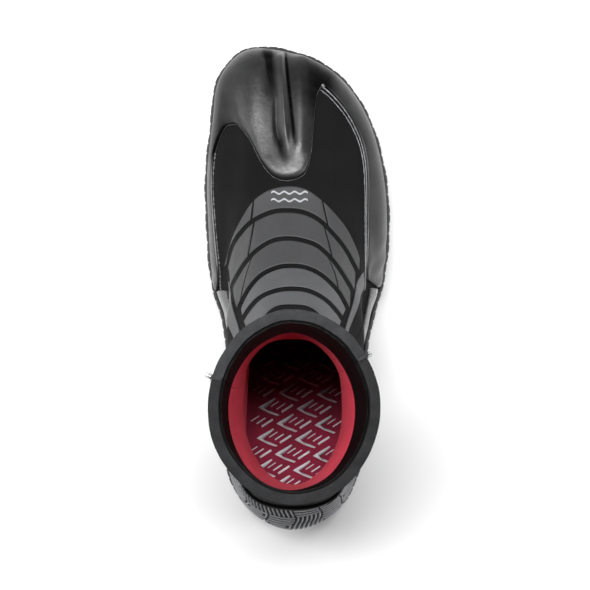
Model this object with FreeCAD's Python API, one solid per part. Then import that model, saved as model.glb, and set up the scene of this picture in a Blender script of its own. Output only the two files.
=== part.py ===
import FreeCAD
import Part

import math
import os

# Right-foot neoprene surf boot with a hidden split toe.
# Millimetres. +Z is up, +Y points to the toe, +X to the outer side of the foot.
# The origin is on the floor, under the middle of the sole.
#
# The soft upper is one smooth surface, the skin: skin(u, v) runs from the sole's edge (u = 0)
# over the foot to the rim of the cuff (u = RINGS - 1), and round the boot with v, from the
# toe tip (v = 0) past the outer side and the heel (v = 12) back to the toe (v = 24).
# Every panel is a patch of that skin between two depths: negative depths lie inside it.

Vector = FreeCAD.Vector

# ---------------------------------------------------------------- driving dimensions
NEOPRENE = 4.2          # foam of the panels
LINING = 0.9            # plush glued to their inside
SEAL = 1.1              # smooth-skin band inside the rim
RUBBER = 1.8            # toe cap, rands and heel cap
FOXING = 1.1            # low strips between the rands and the heel cap
PRINT = 0.4             # raised print
RELIEF = 0.7            # raised grip bars of the heel cap
GAP = 0.1               # between glued pieces
SEAM = 0.012            # the same gap between neighbouring panels, in v or u

LUG_HEIGHT = 2.5        # tread
SOLE_TOP = 6.0          # top of the outsole's plate
LIP_TOP = 10.5          # top of the outsole's edge
LIP_WIDTH = 1.8
BOARD_INSET = 2.6
BOARD_TOP = 7.6
FOOTBED_TOP = 12.0
LUG_PITCH, LUG_WIDTH, LUG_WAVE = 8.6, 4.8, 3.2
LUG_INSET = 1.4

# Ovals of the ankle's waist, the cuff above it and the rim: centre, and half width and depth.
HOOPS = {
    8: ((-2.4, -67.9), (32.0, 45.3)),
    9: ((-3.4, -67.2), (35.4, 45.3)),
    10: ((-1.8, -61.7), (42.9, 49.4)),
}

SIDE_SEAM_OUTER = 6.0   # v of the outer side seam
SIDE_SEAM_INNER = 17.0  # v of the inner side seam
HEEL_SEAM = 12.0
FOOT_TOP = 70.0         # height where the foot's panels end at the sides and the heel
SEAL_BOTTOM_U = 9.35    # lower edge of the smooth-skin band

# ---------------------------------------------------------------- shape of the skin
# Edge of the sole, clockwise from the toe tip seen from above: x, y, and the angle on the
# cuff's oval that the same meridian reaches.
SOLE_EDGE = [
    (-17.3, 145.1, 0), (11.2, 137.6, 9), (31.7, 121.6, 18), (45.2, 98.6, 27),
    (53.2, 69.6, 36), (55.7, 36.6, 46), (52.2, 2.6, 58), (44.7, -25.4, 72),
    (41.5, -57.4, 90), (41.0, -91.4, 112), (33.7, -122.4, 136), (18.2, -139.4, 158),
    (-2.3, -144.9, 180), (-22.3, -139.4, 202), (-38.3, -122.4, 224), (-45.1, -91.4, 248),
    (-43.6, -57.4, 270), (-44.3, -25.4, 288), (-51.8, 2.6, 302), (-54.8, 36.6, 314),
    (-55.4, 69.6, 324), (-52.1, 100.6, 333), (-49.3, 122.6, 342), (-37.3, 140.1, 351),
]
MERIDIANS = len(SOLE_EDGE)

# How a meridian climbs, ring by ring, at five stations round the boot: the distance in from
# the skin's lower edge, the share of the way from there to that ring's oval, and the height.
CLIMB = {
    0.0: [(0, 0, 8.2), (-1.5, 0, 20), (2, 0, 34), (8, .052, 43.5), (10, .23, 49.5), (10, .45, 55.5),
          (8, .67, 66.5), (6, .857, 85), (0, .975, 112), (0, 1, 145), (0, 1, 182)],
    4.0: [(0, 0, 8.2), (-1.5, 0, 19), (2, 0, 32), (8, .064, 41), (12, .212, 49), (12, .403, 56),
          (10, .594, 64), (8, .785, 80), (0, .925, 110), (0, 1, 144), (0, 1, 181)],
    6.5: [(0, 0, 8.2), (-1.5, 0, 19), (1, 0, 32), (6, .055, 42), (8, .20, 52), (8, .365, 61),
          (7, .53, 71), (7, .70, 84), (0, .86, 108), (0, 1, 142), (0, 1, 179)],
    8.5: [(0, 0, 8.2), (-1.0, 0, 20), (1.5, 0, 34), (4, 0, 46), (6, .06, 57), (7.5, .14, 67),
          (9, .24, 78), (10, .34, 91), (0, 1, 108), (0, 1, 141), (0, 1, 177)],
    12.0: [(0, 0, 8.2), (-2, 0, 20), (-1.5, 0, 34), (.5, 0, 47), (1, .15, 58), (1, .33, 69),
           (1, .52, 80), (1, .76, 93), (0, 1, 112), (0, 1, 143), (0, 1, 178)],
}
STATIONS = sorted(CLIMB)
RINGS = len(CLIMB[0.0])
TOP_U = RINGS - 1

# Distance from the sole's edge in to the skin's lower edge, at the same kind of stations,
# on the outer side and, with v counted back from 24, on the inner side.
SOLE_MARGIN = {0.0: (7.0, 7.0), 3.0: (5.4, 5.0), 8.0: (5.2, 5.0), 12.0: (5.2, 5.2)}


def ease(a, b, t):
    """Smooth step from a to b as t goes from 0 to 1."""
    t = max(0.0, min(1.0, t))
    return a + (b - a) * t * t * (3 - 2 * t)


def between(table, keys, x):
    """The two neighbouring keys of x in a table, and how far x is between them."""
    for low, high in zip(keys, keys[1:]):
        if x <= high:
            return table[low], table[high], (x - low) / (high - low)
    return table[keys[-1]], table[keys[-1]], 0.0


def edge_normal(j):
    """Outward normal of the sole's edge at point j, in plan."""
    ax, ay, _ = SOLE_EDGE[(j - 1) % MERIDIANS]
    bx, by, _ = SOLE_EDGE[(j + 1) % MERIDIANS]
    dx, dy = bx - ax, by - ay
    length = math.hypot(dx, dy)
    return -dy / length, dx / length


def margin(j):
    folded, side = (j, 0) if j <= MERIDIANS / 2 else (MERIDIANS - j, 1)
    low, high, t = between(SOLE_MARGIN, sorted(SOLE_MARGIN), folded)
    return ease(low[side], high[side], t)


def skin_points():
    """Points the skin passes through, ring by ring."""
    rings = [[] for _ in range(RINGS)]
    for j, (x, y, angle) in enumerate(SOLE_EDGE):
        nx, ny = edge_normal(j)
        folded = min(j, MERIDIANS - j)
        low, high, t = between(CLIMB, STATIONS, folded)
        a = math.radians(angle)
        for k, (one, two) in enumerate(zip(low, high)):
            (centre_x, centre_y), (half_width, half_depth) = HOOPS.get(k, HOOPS[TOP_U])
            hoop_x = centre_x + half_width * math.sin(a)
            hoop_y = centre_y + half_depth * math.cos(a)
            inset, share, height = (ease(p, q, t) for p, q in zip(one, two))
            inset += margin(j)
            foot_x, foot_y = x - nx * inset, y - ny * inset
            rings[k].append((foot_x + share * (hoop_x - foot_x), foot_y + share * (hoop_y - foot_y), height))
    return rings


def controls(points, closed):
    """Control points of the uniform cubic B-spline that passes through the given points."""
    n = len(points)
    c = [list(p) for p in points]
    if not closed:
        c = [c[0]] + c + [c[-1]]
    for _ in range(60):
        for i in range(n):
            if closed:
                a, b, k = c[i - 1], c[(i + 1) % n], i
            else:
                a, b, k = c[i], c[i + 2], i + 1
            c[k] = [(6 * p - q - r) / 4 for p, q, r in zip(points[i], a, b)]
        if not closed:
            c[0] = [2 * p - q for p, q in zip(c[1], c[2])]
            c[-1] = [2 * p - q for p, q in zip(c[-2], c[-3])]
    return c


def weights(t):
    """Weights of the four control points around parameter t of a span."""
    one = (1 - t) ** 3 / 6
    two = (3 * t ** 3 - 6 * t ** 2 + 4) / 6
    four = t ** 3 / 6
    return one, two, 1 - one - two - four, four


def control_net():
    closed_rings = [controls(ring, True) for ring in skin_points()]
    return [controls(list(column), False) for column in zip(*closed_rings)]


NET = control_net()


def skin_point(u, v):
    i = min(max(int(math.floor(u)), 0), RINGS - 2)
    j = int(math.floor(v))
    wu, wv = weights(u - i), weights(v - j)
    x = y = z = 0.0
    for b in range(4):
        column = NET[(j - 1 + b) % MERIDIANS]
        for a in range(4):
            w = wu[a] * wv[b]
            p = column[i + a]
            x += w * p[0]
            y += w * p[1]
            z += w * p[2]
    return Vector(x, y, z)


def skin(u, v, depth=0.0):
    """Point of the skin at u, v, moved outward by depth."""
    p = skin_point(u, v)
    if depth == 0.0:
        return p
    h = 0.02
    du = skin_point(u + h, v) - skin_point(u - h, v)
    dv = skin_point(u, v + h) - skin_point(u, v - h)
    n = du.cross(dv)
    n.normalize()
    return p + n * depth


def u_at_height(v, height):
    """u where meridian v passes the given height."""
    low, high = 0.0, float(TOP_U)
    for _ in range(40):
        middle = (low + high) / 2
        if skin_point(middle, v).z < height:
            low = middle
        else:
            high = middle
    return low


def coarse_grid():
    """Points to start a search from, over the part of the skin that faces up at the front."""
    grid = []
    for i in range(3, 20):
        for j in range(-14, 15):
            u, v = i / 2, j / 2
            p = skin_point(u, v)
            grid.append((p.x, p.y, u, v))
    return grid


GRID = coarse_grid()


def on_skin(x, y):
    """u, v of the skin's point above x, y on the front of the boot."""
    _, _, u, v = min(GRID, key=lambda g: (g[0] - x) ** 2 + (g[1] - y) ** 2)
    h = 0.01
    for _ in range(30):
        p = skin_point(u, v)
        pu, pv = skin_point(u + h, v), skin_point(u, v + h)
        ax, ay = (pu.x - p.x) / h, (pu.y - p.y) / h
        bx, by = (pv.x - p.x) / h, (pv.y - p.y) / h
        turn = ax * by - bx * ay
        ex, ey = x - p.x, y - p.y
        du = (ex * by - ey * bx) / turn
        dv = (ey * ax - ex * ay) / turn
        cut = min(1.0, 0.5 / max(abs(du), abs(dv), 1e-9))
        u = min(max(u + du * cut, 0.0), float(TOP_U))
        v += dv * cut
    return u, v


def samples(low, high, count):
    return [low + (high - low) * i / (count - 1) for i in range(count)]


def along(points, t):
    """Point at share t, 0 to 1, of a smooth curve through points, evenly by length."""
    lengths = [0.0]
    for p, q in zip(points, points[1:]):
        lengths.append(lengths[-1] + math.dist(p, q))
    want = t * lengths[-1]
    i = 0
    while i < len(points) - 2 and lengths[i + 1] < want:
        i += 1
    f = (want - lengths[i]) / (lengths[i + 1] - lengths[i])
    a, b = points[i], points[i + 1]
    before = points[i - 1] if i else [2 * p - q for p, q in zip(a, b)]
    after = points[i + 2] if i + 2 < len(points) else [2 * q - p for p, q in zip(a, b)]
    out = []
    for p, q, r, s in zip(before, a, b, after):
        out.append(q + 0.5 * f * (r - p + f * (2 * p - 5 * q + 4 * r - s + f * (3 * (q - r) + s - p))))
    return tuple(out)


# ---------------------------------------------------------------- solids
def solid_between(outer_rows, inner_rows):
    """Closed solid between two grids of points with the same shape."""
    outer, inner = Part.BSplineSurface(), Part.BSplineSurface()
    outer.interpolate(outer_rows)
    inner.interpolate(inner_rows)
    faces = [outer.toShape(), inner.toShape()]
    u0, u1, v0, v1 = outer.bounds()
    p0, p1, q0, q1 = inner.bounds()
    pairs = [(outer.uIso(u0), inner.uIso(p0)), (outer.uIso(u1), inner.uIso(p1))]
    pairs += [(outer.vIso(v0), inner.vIso(q0)), (outer.vIso(v1), inner.vIso(q1))]
    for curves in pairs:
        side = Part.BSplineSurface()
        side.buildFromNSections(list(curves))
        faces.append(side.toShape())
    sewn = Part.makeCompound(faces)
    sewn.sewShape()
    solid = Part.Solid(sewn.Shells[0])
    if solid.Volume < 0:
        solid.reverse()
    return solid


def patch(edge_a, edge_b, depth_a, depth_b, columns, rows):
    """Panel of the skin between two edges, each a function of a share s giving (u, v)."""
    grids = [[], []]
    for s in samples(0.0, 1.0, columns):
        (ua, va), (ub, vb) = edge_a(s), edge_b(s)
        for grid, depth in zip(grids, (max(depth_a, depth_b), min(depth_a, depth_b))):
            grid.append([skin(ua + (ub - ua) * t, va + (vb - va) * t, depth) for t in samples(0, 1, rows)])
    return solid_between(*grids)


def level(v_low, v_high, u):
    """Edge at constant u, or at u(v), from v_low to v_high."""
    def edge(s):
        v = v_low + (v_high - v_low) * s
        return (u(v) if callable(u) else u), v
    return edge


def traced(points):
    """Edge through plan points x, y."""
    located = [on_skin(x, y) for x, y in points]
    return lambda s: along(located, s)


def shifted(edge, du):
    return lambda s: (edge(s)[0] + du, edge(s)[1])


def outline(inset):
    """Closed plan curve inside the sole's edge."""
    points = []
    for j, (x, y, _) in enumerate(SOLE_EDGE):
        nx, ny = edge_normal(j)
        points.append(Vector(x - nx * inset, y - ny * inset, 0))
    curve = Part.BSplineCurve()
    curve.interpolate(Points=points, PeriodicFlag=True)
    return Part.Wire(curve.toShape())


def prism(wire, bottom, top):
    face = Part.Face(wire)
    face.translate(Vector(0, 0, bottom))
    return face.extrude(Vector(0, 0, top - bottom))


def bar(x, y, length, width, angle, bottom, top):
    """Upright-sided flat bar centred on x, y."""
    box = Part.makeBox(length, width, top - bottom, Vector(-length / 2, -width / 2, bottom))
    box.rotate(Vector(0, 0, 0), Vector(0, 0, 1), angle)
    box.translate(Vector(x, y, 0))
    return box


# ---------------------------------------------------------------- edges of the panels
# Plan points, from the inner side of the foot to the outer side.
CAP_EDGE = [
    (-48.4, 79.0), (-45.4, 88.0), (-42.0, 93.8), (-37.7, 95.0), (-32.5, 92.3), (-28.0, 86.4), (-23.5, 77.5),
    (-20.0, 71.0), (-15.0, 65.0), (-10.0, 62.4), (-4.3, 62.0), (1.3, 63.6), (5.2, 67.6), (7.4, 75.0),
    (8.6, 84.0), (9.7, 98.0), (11.5, 112.0), (13.6, 117.5),
]
OUTER_RAND_EDGE = [
    (14.9, 116.5), (24.0, 108.0), (30.8, 99.0), (36.5, 87.6), (39.4, 76.0), (40.4, 64.7), (40.6, 53.0),
    (40.3, 41.8), (40.0, 30.5), (39.8, 19.0), (39.6, 8.0), (39.4, -2.0),
]
INNER_RAND_EDGE = [
    (-48.6, 78.4), (-49.6, 66.0), (-49.4, 53.0), (-48.4, 37.0), (-46.8, 19.5), (-45.6, 8.0), (-45.2, -2.0),
]
# Dark lines across the instep and the ankle, from the toe side back; the third is the seam
# between the vamp and the front panel.
ARCS = [
    [(-42.3, 13.0), (-39.8, 23.7), (-36.2, 32.4), (-31.6, 41.2), (-25.4, 50.0), (-16.5, 56.1), (-5.4, 58.4),
     (4.6, 56.8), (13.5, 51.1), (21.3, 43.3), (29.1, 33.4), (34.7, 22.3), (36.8, 16.0)],
    [(-41.2, 11.0), (-36.7, 23.4), (-30.9, 31.6), (-24.2, 37.5), (-14.2, 42.0), (-5.4, 42.9), (3.5, 41.8),
     (12.3, 37.5), (20.0, 29.8), (27.8, 19.8), (34.2, 8.2)],
    [(-37.0, -0.8), (-35.6, 2.1), (-29.5, 12.0), (-22.9, 19.6), (-14.1, 25.1), (-5.4, 26.5), (3.4, 25.4),
     (12.2, 21.8), (20.9, 13.0), (29.6, -0.1), (31.0, -3.0)],
    [(-32.2, -13.2), (-31.2, -10.4), (-26.8, -2.3), (-20.4, 5.2), (-11.8, 9.6), (-3.1, 10.7), (5.5, 9.6),
     (14.2, 5.2), (22.7, -3.4), (26.6, -10.0), (28.0, -13.0)],
    [(-30.3, -19.3), (-25.3, -11.9), (-19.1, -6.1), (-10.6, -2.9), (-2.0, -2.2), (6.5, -3.4), (14.9, -7.7),
     (21.2, -14.0), (25.0, -19.2)],
]
# Side bands beside the printed arcs: u, v of their front and rear edges.
WINGS = {
    "inner_side_band": (
        [(3.5, -5.9), (5.0, -5.62), (6.5, -5.2), (7.3, -5.2), (7.9, -5.4)],
        [(3.1, -6.35), (4.8, -6.4), (6.2, -6.15), (7.1, -5.9), (7.9, -5.95)]),
    "outer_side_band": (
        [(4.4, 5.45), (5.2, 5.2), (6.4, 4.78), (7.3, 4.84), (7.9, 5.08)],
        [(4.1, 5.85), (5.0, 5.68), (6.4, 5.27), (7.3, 5.2), (7.9, 5.32)]),
}
# The two lengthwise lines that cut the bands into three: x at the given y.
LINE_INNER = [(58.0, -26.0), (48.9, -26.0), (35.3, -25.3), (18.5, -26.2), (-2.3, -28.9), (-12.0, -31.0)]
LINE_OUTER = [(58.0, 14.8), (51.2, 15.2), (36.5, 16.2), (18.5, 17.9), (-2.3, 21.8), (-12.0, 25.0)]
SHIN_ENDS = (-4.6, 4.45)
ARC_LINE = 2.6          # width of the dark lines
LENGTH_LINE = 1.4

# Motif of the grip print, from the tip of its angle; the bars are given by centre, length and width.
MOTIF_ANGLE = [(0, 0), (6.6, -3.4), (11.6, -5.1), (12.8, -4.4), (4.0, -0.6), (10.6, 5.3), (10.0, 6.0), (1.7, 1.2)]
MOTIF_BARS = [(10.1, 2.2, 5.9, 0.6), (13.7, 0.8, 6.3, 0.8), (17.5, -0.5, 8.1, 1.3)]
MOTIF_TILT = 33.0       # degrees
MOTIF_START = (-13.5, -101.5)
MOTIF_ACROSS = (23.0, -0.9)
MOTIF_STAGGER = (12.0, 8.8)
MOTIF_UP = (1.0, 18.5)
# Wall between the big toe and the others: its two ends in plan.
WALL_START, WALL_END, WALL_THICKNESS = (-4.6, 80.0), (-9.6, 127.0), 3.0


def shin_line(v):
    """u of the last dark line, over the front of the shin."""
    return 7.7 + 0.04 * v * v


def line_x(line, y):
    for (ya, xa), (yb, xb) in zip(line, line[1:]):
        if y >= yb:
            return xa + (xb - xa) * (y - ya) / (yb - ya)
    return line[-1][1]


def crossing(arc, line):
    """Share of an arc's length where a lengthwise line crosses it."""
    low, high = 0.0, 1.0
    for _ in range(40):
        middle = (low + high) / 2
        x, y = along(arc, middle)
        if x < line_x(line, y):
            low = middle
        else:
            high = middle
    return low


def beside(arc, t, distance):
    """Point next to an arc, on its heel side for a positive distance."""
    ax, ay = along(arc, max(0.0, t - 0.004))
    bx, by = along(arc, min(1.0, t + 0.004))
    x, y = along(arc, t)
    length = math.hypot(bx - ax, by - ay)
    return x + (by - ay) / length * distance, y - (bx - ax) / length * distance


def band_pad(front, back, part, columns, rows=6):
    """Printed pad between two arcs; part 0, 1, 2 is its inner, middle or outer third."""
    shares = []
    for arc in (front, back):
        cuts = [0.0, crossing(arc, LINE_INNER), crossing(arc, LINE_OUTER), 1.0]
        half = LENGTH_LINE / 2 / sum(math.dist(p, q) for p, q in zip(arc, arc[1:]))
        low = cuts[part] + (half if part else 0.0)
        high = cuts[part + 1] - (half if part < 2 else 0.0)
        shares.append((low, high))
    (a0, a1), (b0, b1) = shares
    edge_a = traced([beside(front, t, ARC_LINE / 2) for t in samples(a0, a1, columns)])
    edge_b = traced([beside(back, t, -ARC_LINE / 2) for t in samples(b0, b1, columns)])
    return patch(edge_a, edge_b, GAP, GAP + PRINT, columns, rows)


# ---------------------------------------------------------------- the pieces
def foot_edge(v):
    """u of the foot panels' top behind the side seams."""
    return u_at_height(v, FOOT_TOP)


def vamp_edge():
    """The vamp's top edge, from the inner side seam over the instep to the outer side seam."""
    inner_v, outer_v = SIDE_SEAM_INNER - MERIDIANS, SIDE_SEAM_OUTER
    middle = [on_skin(x, y) for x, y in ARCS[3][1:-1]]
    points = [(foot_edge(inner_v), inner_v)]
    points.append(((points[0][0] + middle[0][0]) / 2 - 0.1, (inner_v + middle[0][1]) / 2))
    points += middle
    last = (foot_edge(outer_v), outer_v)
    points.append(((last[0] + middle[-1][0]) / 2 - 0.1, (outer_v + middle[-1][1]) / 2))
    points.append(last)
    return lambda s: along(points, s)


def outsole():
    edge = outline(0.0)
    sole = prism(edge, LUG_HEIGHT, LIP_TOP)
    sole = sole.cut(prism(outline(LIP_WIDTH), SOLE_TOP, LIP_TOP + 1))
    field = prism(outline(LUG_INSET), 0, LUG_HEIGHT + 0.5)
    ribs = []
    y = SOLE_EDGE[12][1] + 6
    while y < SOLE_EDGE[0][1] - 3:
        xs = samples(-64, 64, 17)
        front = [Vector(x, y + (LUG_WAVE if i % 2 else 0), 0) for i, x in enumerate(xs)]
        back = [p + Vector(0, LUG_WIDTH, 0) for p in reversed(front)]
        rib = Part.Face(Part.makePolygon(front + back + front[:1])).extrude(Vector(0, 0, LUG_HEIGHT + 0.5))
        ribs.append(rib.common(field))
        y += LUG_PITCH
    return sole.fuse(ribs)


def footbed():
    points = []
    for j in range(MERIDIANS):
        p = skin(0.0, float(j), -(NEOPRENE + LINING + 0.9))
        points.append(Vector(p.x, p.y, 0))
    curve = Part.BSplineCurve()
    curve.interpolate(Points=points, PeriodicFlag=True)
    return prism(Part.Wire(curve.toShape()), BOARD_TOP + GAP, FOOTBED_TOP), points


def footbed_print(edge_points):
    """Grip print: staggered rows of a tapered angle with three bars beside it."""
    bottom, top = FOOTBED_TOP + 0.02, FOOTBED_TOP + 0.32
    c, s = math.cos(math.radians(MOTIF_TILT)), math.sin(math.radians(MOTIF_TILT))
    shapes = [MOTIF_ANGLE]
    for x, y, length, width in MOTIF_BARS:
        corners = [(-length / 2, -width / 2), (length / 2, -width / 2), (length / 2, width / 2), (-length / 2, width / 2)]
        shapes.append([(x + c * p - s * q, y + s * p + c * q) for p, q in corners])
    pieces = []
    for row in range(-4, 26):
        for column in range(-3, 4):
            steps = ((MOTIF_UP, row // 2), (MOTIF_STAGGER, row % 2), (MOTIF_ACROSS, column))
            tip_x, tip_y = (MOTIF_START[k] + sum(step[k] * times for step, times in steps) for k in (0, 1))
            for shape in shapes:
                points = [(tip_x + x, tip_y + y) for x, y in shape]
                if all(inside(edge_points, x, y, 2.2) for x, y in points) and clear_of_wall(points):
                    wire = Part.makePolygon([Vector(x, y, bottom) for x, y in points + points[:1]])
                    pieces.append(Part.Face(wire).extrude(Vector(0, 0, top - bottom)))
    return pieces


def clear_of_wall(points):
    """Whether a printed shape keeps off the wall between the toes."""
    (ax, ay), (bx, by) = WALL_START, WALL_END
    if max(y for _, y in points) < ay - 1:
        return True
    length = math.hypot(bx - ax, by - ay)
    sides = [((x - ax) * (by - ay) - (y - ay) * (bx - ax)) / length for x, y in points]
    return min(sides) > WALL_THICKNESS / 2 + 0.5 or max(sides) < -WALL_THICKNESS / 2 - 0.5


def inside(points, x, y, margin):
    """Whether x, y lies inside the closed line of points, at least margin from each of them."""
    crossings = 0
    for p, q in zip(points, points[1:] + points[:1]):
        if math.hypot(p.x - x, p.y - y) < margin:
            return False
        if (p.y > y) != (q.y > y) and x < p.x + (y - p.y) * (q.x - p.x) / (q.y - p.y):
            crossings += 1
    return crossings % 2 == 1


def toe_divider():
    """Wall between the big toe and the others."""
    start, end = WALL_START, WALL_END
    across = Vector(end[1] - start[1], start[0] - end[0], 0)
    across.normalize()
    top = []
    for t in samples(0, 1, 10):
        x, y = start[0] + (end[0] - start[0]) * t, start[1] + (end[1] - start[1]) * t
        u, v = on_skin(x, y)
        top.append(Vector(x, y, skin(u, v, -(NEOPRENE + LINING + 2.6)).z))
    floor = FOOTBED_TOP + 0.3
    corners = [Vector(*start, floor)] + top + [Vector(*end, floor), Vector(*start, floor)]
    wall = Part.Face(Part.makePolygon(corners))
    wall.translate(across * (-WALL_THICKNESS / 2))
    return wall.extrude(across * WALL_THICKNESS)


def seam_tack(v):
    """Thread bar over the rim where a side seam ends."""
    base = skin(TOP_U, v, -NEOPRENE / 2)
    across = skin(TOP_U, v, 0.0) - skin(TOP_U, v, -NEOPRENE)
    angle = math.degrees(math.atan2(across.y, across.x))
    bottom = max(skin(TOP_U, v, depth).z for depth in (0.0, -NEOPRENE)) + GAP
    return bar(base.x, base.y, NEOPRENE, 2.6, angle, bottom, bottom + 0.8)


def wave_mark():
    """Two small printed wave lines on the front pad, instead of any lettering."""
    marks = []
    for y in (53.0, 48.6):
        crest = [(-15.0 + 1.5 * i, y + (1.0 if i % 4 in (1, 2) else -0.2)) for i in range(15)]
        front = traced([(x, level_y + 0.55) for x, level_y in crest])
        back = traced([(x, level_y - 0.55) for x, level_y in crest])
        marks.append(patch(front, back, GAP + PRINT + 0.02, GAP + PRINT + 0.2, 40, 3))
    return marks


def heel_pads():
    """Short grip bars on the heel cap, in rows that shift by half a bar."""
    low, high = HEEL_CAP[0] + 0.12, HEEL_CAP[1] - 0.12
    depth = GAP + RUBBER + 0.02
    pads = []
    rows, count = 7, 9
    for row in range(rows):
        for k in range(count):
            a = (k + (0.5 if row % 2 else 0.0)) / count
            b = min(a + 0.86 / count, 1.0)
            if b - a < 0.05:
                continue
            va, vb = low + (high - low) * a, low + (high - low) * b
            def edge(share, va=va, vb=vb):
                return lambda s: (heel_cap_edge(va + (vb - va) * s) * share, va + (vb - va) * s)
            bottom, top = 0.18 + 0.11 * row, 0.18 + 0.11 * row + 0.075
            pads.append(patch(edge(bottom), edge(top), depth, depth + RELIEF, 5, 3))
    return pads


HEEL_CAP = (8.5, 15.5)


def heel_cap_edge(v):
    """u of the heel cap's top: highest at the back."""
    half = (HEEL_CAP[1] - HEEL_CAP[0]) / 2
    away = abs(v - HEEL_CAP[0] - half) / half
    return u_at_height(v, 80.0 - 34.0 * away ** 2)


def build():
    inner_v, outer_v = SIDE_SEAM_INNER - MERIDIANS, SIDE_SEAM_OUTER
    back_inner = SIDE_SEAM_INNER
    front_top = vamp_edge()
    skin_depths = (-NEOPRENE, 0.0)
    lining_depths = (-NEOPRENE - GAP - LINING, -NEOPRENE - GAP)
    rubber_depths = (GAP, GAP + RUBBER)
    nodes = {}

    nodes["outsole"] = outsole()
    nodes["lasting_board"] = prism(outline(BOARD_INSET), SOLE_TOP + GAP, BOARD_TOP)
    nodes["footbed"], edge_points = footbed()
    nodes["footbed_print"] = Part.makeCompound(footbed_print(edge_points))

    # Panels and, inside each, its lining.
    sides = {
        "outer_quarter": (outer_v + SEAM, HEEL_SEAM - SEAM / 2),
        "inner_quarter": (HEEL_SEAM + SEAM / 2, back_inner - SEAM),
    }
    for name, (low, high) in sides.items():
        nodes[name] = patch(level(low, high, 0.0), level(low, high, foot_edge), *skin_depths, 18, 26)
    nodes["vamp"] = patch(level(inner_v, outer_v, 0.0), front_top, *skin_depths, 60, 32)
    nodes["front_panel"] = patch(shifted(front_top, SEAM), level(inner_v, outer_v, TOP_U), *skin_depths, 60, 28)
    low, high = outer_v + SEAM, back_inner - SEAM
    above = lambda v: foot_edge(v) + SEAM
    nodes["back_panel"] = patch(level(low, high, above), level(low, high, TOP_U), *skin_depths, 40, 28)

    nodes["vamp_lining"] = patch(level(inner_v, outer_v, 0.02), shifted(front_top, -0.01), *lining_depths, 56, 30)
    nodes["heel_lining"] = patch(
        level(low, high, 0.02), level(low, high, lambda v: foot_edge(v) - 0.01), *lining_depths, 36, 26)
    nodes["front_lining"] = patch(
        shifted(front_top, SEAM), level(inner_v, outer_v, SEAL_BOTTOM_U), *lining_depths, 60, 26)
    nodes["back_lining"] = patch(
        level(low, high, above), level(low, high, SEAL_BOTTOM_U), *lining_depths, 40, 26)
    seal_depths = (-NEOPRENE - GAP - SEAL, -NEOPRENE - GAP)
    for name, a, b in (("front_seal", inner_v, outer_v), ("back_seal", low, high)):
        lower, upper = level(a, b, SEAL_BOTTOM_U + 0.02), level(a, b, TOP_U - 0.01)
        nodes[name] = patch(lower, upper, *seal_depths, 50, 10)
    nodes["seam_tacks"] = Part.makeCompound([seam_tack(v) for v in (outer_v, back_inner)])

    # Rubber.
    cap_back = traced(CAP_EDGE)
    nodes["toe_cap"] = patch(level(cap_back(0)[1], cap_back(1)[1], 0.0), cap_back, *rubber_depths, 60, 22)
    outer_top = traced(OUTER_RAND_EDGE)
    nodes["outer_rand"] = patch(level(outer_top(0)[1], outer_top(1)[1], 0.0), outer_top, *rubber_depths, 30, 14)
    inner_top = traced(INNER_RAND_EDGE)
    nodes["inner_rand"] = patch(level(inner_top(0)[1], inner_top(1)[1], 0.0), inner_top, *rubber_depths, 22, 12)
    for name, joint, end, height in (
            ("outer_foxing", outer_top(1)[1] + SEAM * 2, HEEL_CAP[0] - SEAM * 2, 37.0),
            ("inner_foxing", HEEL_CAP[1] - MERIDIANS + SEAM * 2, inner_top(1)[1] - SEAM * 2, 41.0)):
        top = lambda v, height=height: u_at_height(v, height - 3.0 * (abs(v) - 6.0))
        nodes[name] = patch(level(joint, end, 0.0), level(joint, end, top), GAP, GAP + FOXING, 24, 10)
    nodes["outer_bead"] = patch(
        shifted(outer_top, 0.03), shifted(outer_top, 0.20), GAP, GAP + 1.3, 40, 4)
    nodes["heel_cap"] = patch(
        level(*HEEL_CAP, 0.0), level(*HEEL_CAP, heel_cap_edge), *rubber_depths, 36, 20)
    nodes["heel_grip_bars"] = Part.makeCompound(heel_pads())
    nodes["toe_divider"] = toe_divider()

    # Print.
    thirds = ("inner", "middle", "outer")
    for part, third in enumerate(thirds):
        columns = (14, 18, 14)[part]
        instep = [band_pad(ARCS[i], ARCS[i + 1], part, columns) for i in range(3)]
        nodes["instep_pads_" + third] = Part.makeCompound(instep)
    seam_arc, ankle_arc = ARCS[3], ARCS[4]
    half_line = 0.055
    shin_front = level(*SHIN_ENDS, lambda v: shin_line(v) - half_line)
    rear_of_seam, front_of_ankle, rear_of_ankle = (
        traced([beside(arc, t, side * ARC_LINE / 2) for t in samples(0, 1, 22)])
        for arc, side in ((seam_arc, 1), (ankle_arc, -1), (ankle_arc, 1)))
    nodes["ankle_pads"] = Part.makeCompound([
        patch(rear_of_seam, front_of_ankle, GAP, GAP + PRINT, 24, 6),
        patch(rear_of_ankle, shin_front, GAP, GAP + PRINT, 24, 6)])
    nodes["shin_pad"] = patch(
        level(*SHIN_ENDS, lambda v: shin_line(v) + half_line), level(*SHIN_ENDS, TOP_U - 0.3),
        GAP + 0.1, GAP + 0.1 + PRINT, 44, 26)
    for name, (front, back) in WINGS.items():
        edges = [lambda s, points=points: along(points, s) for points in (front, back)]
        nodes[name] = patch(*edges, GAP + 0.25, GAP + 0.25 + PRINT, 44, 8)
    nodes["wave_mark"] = Part.makeCompound(wave_mark())
    return nodes


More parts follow.
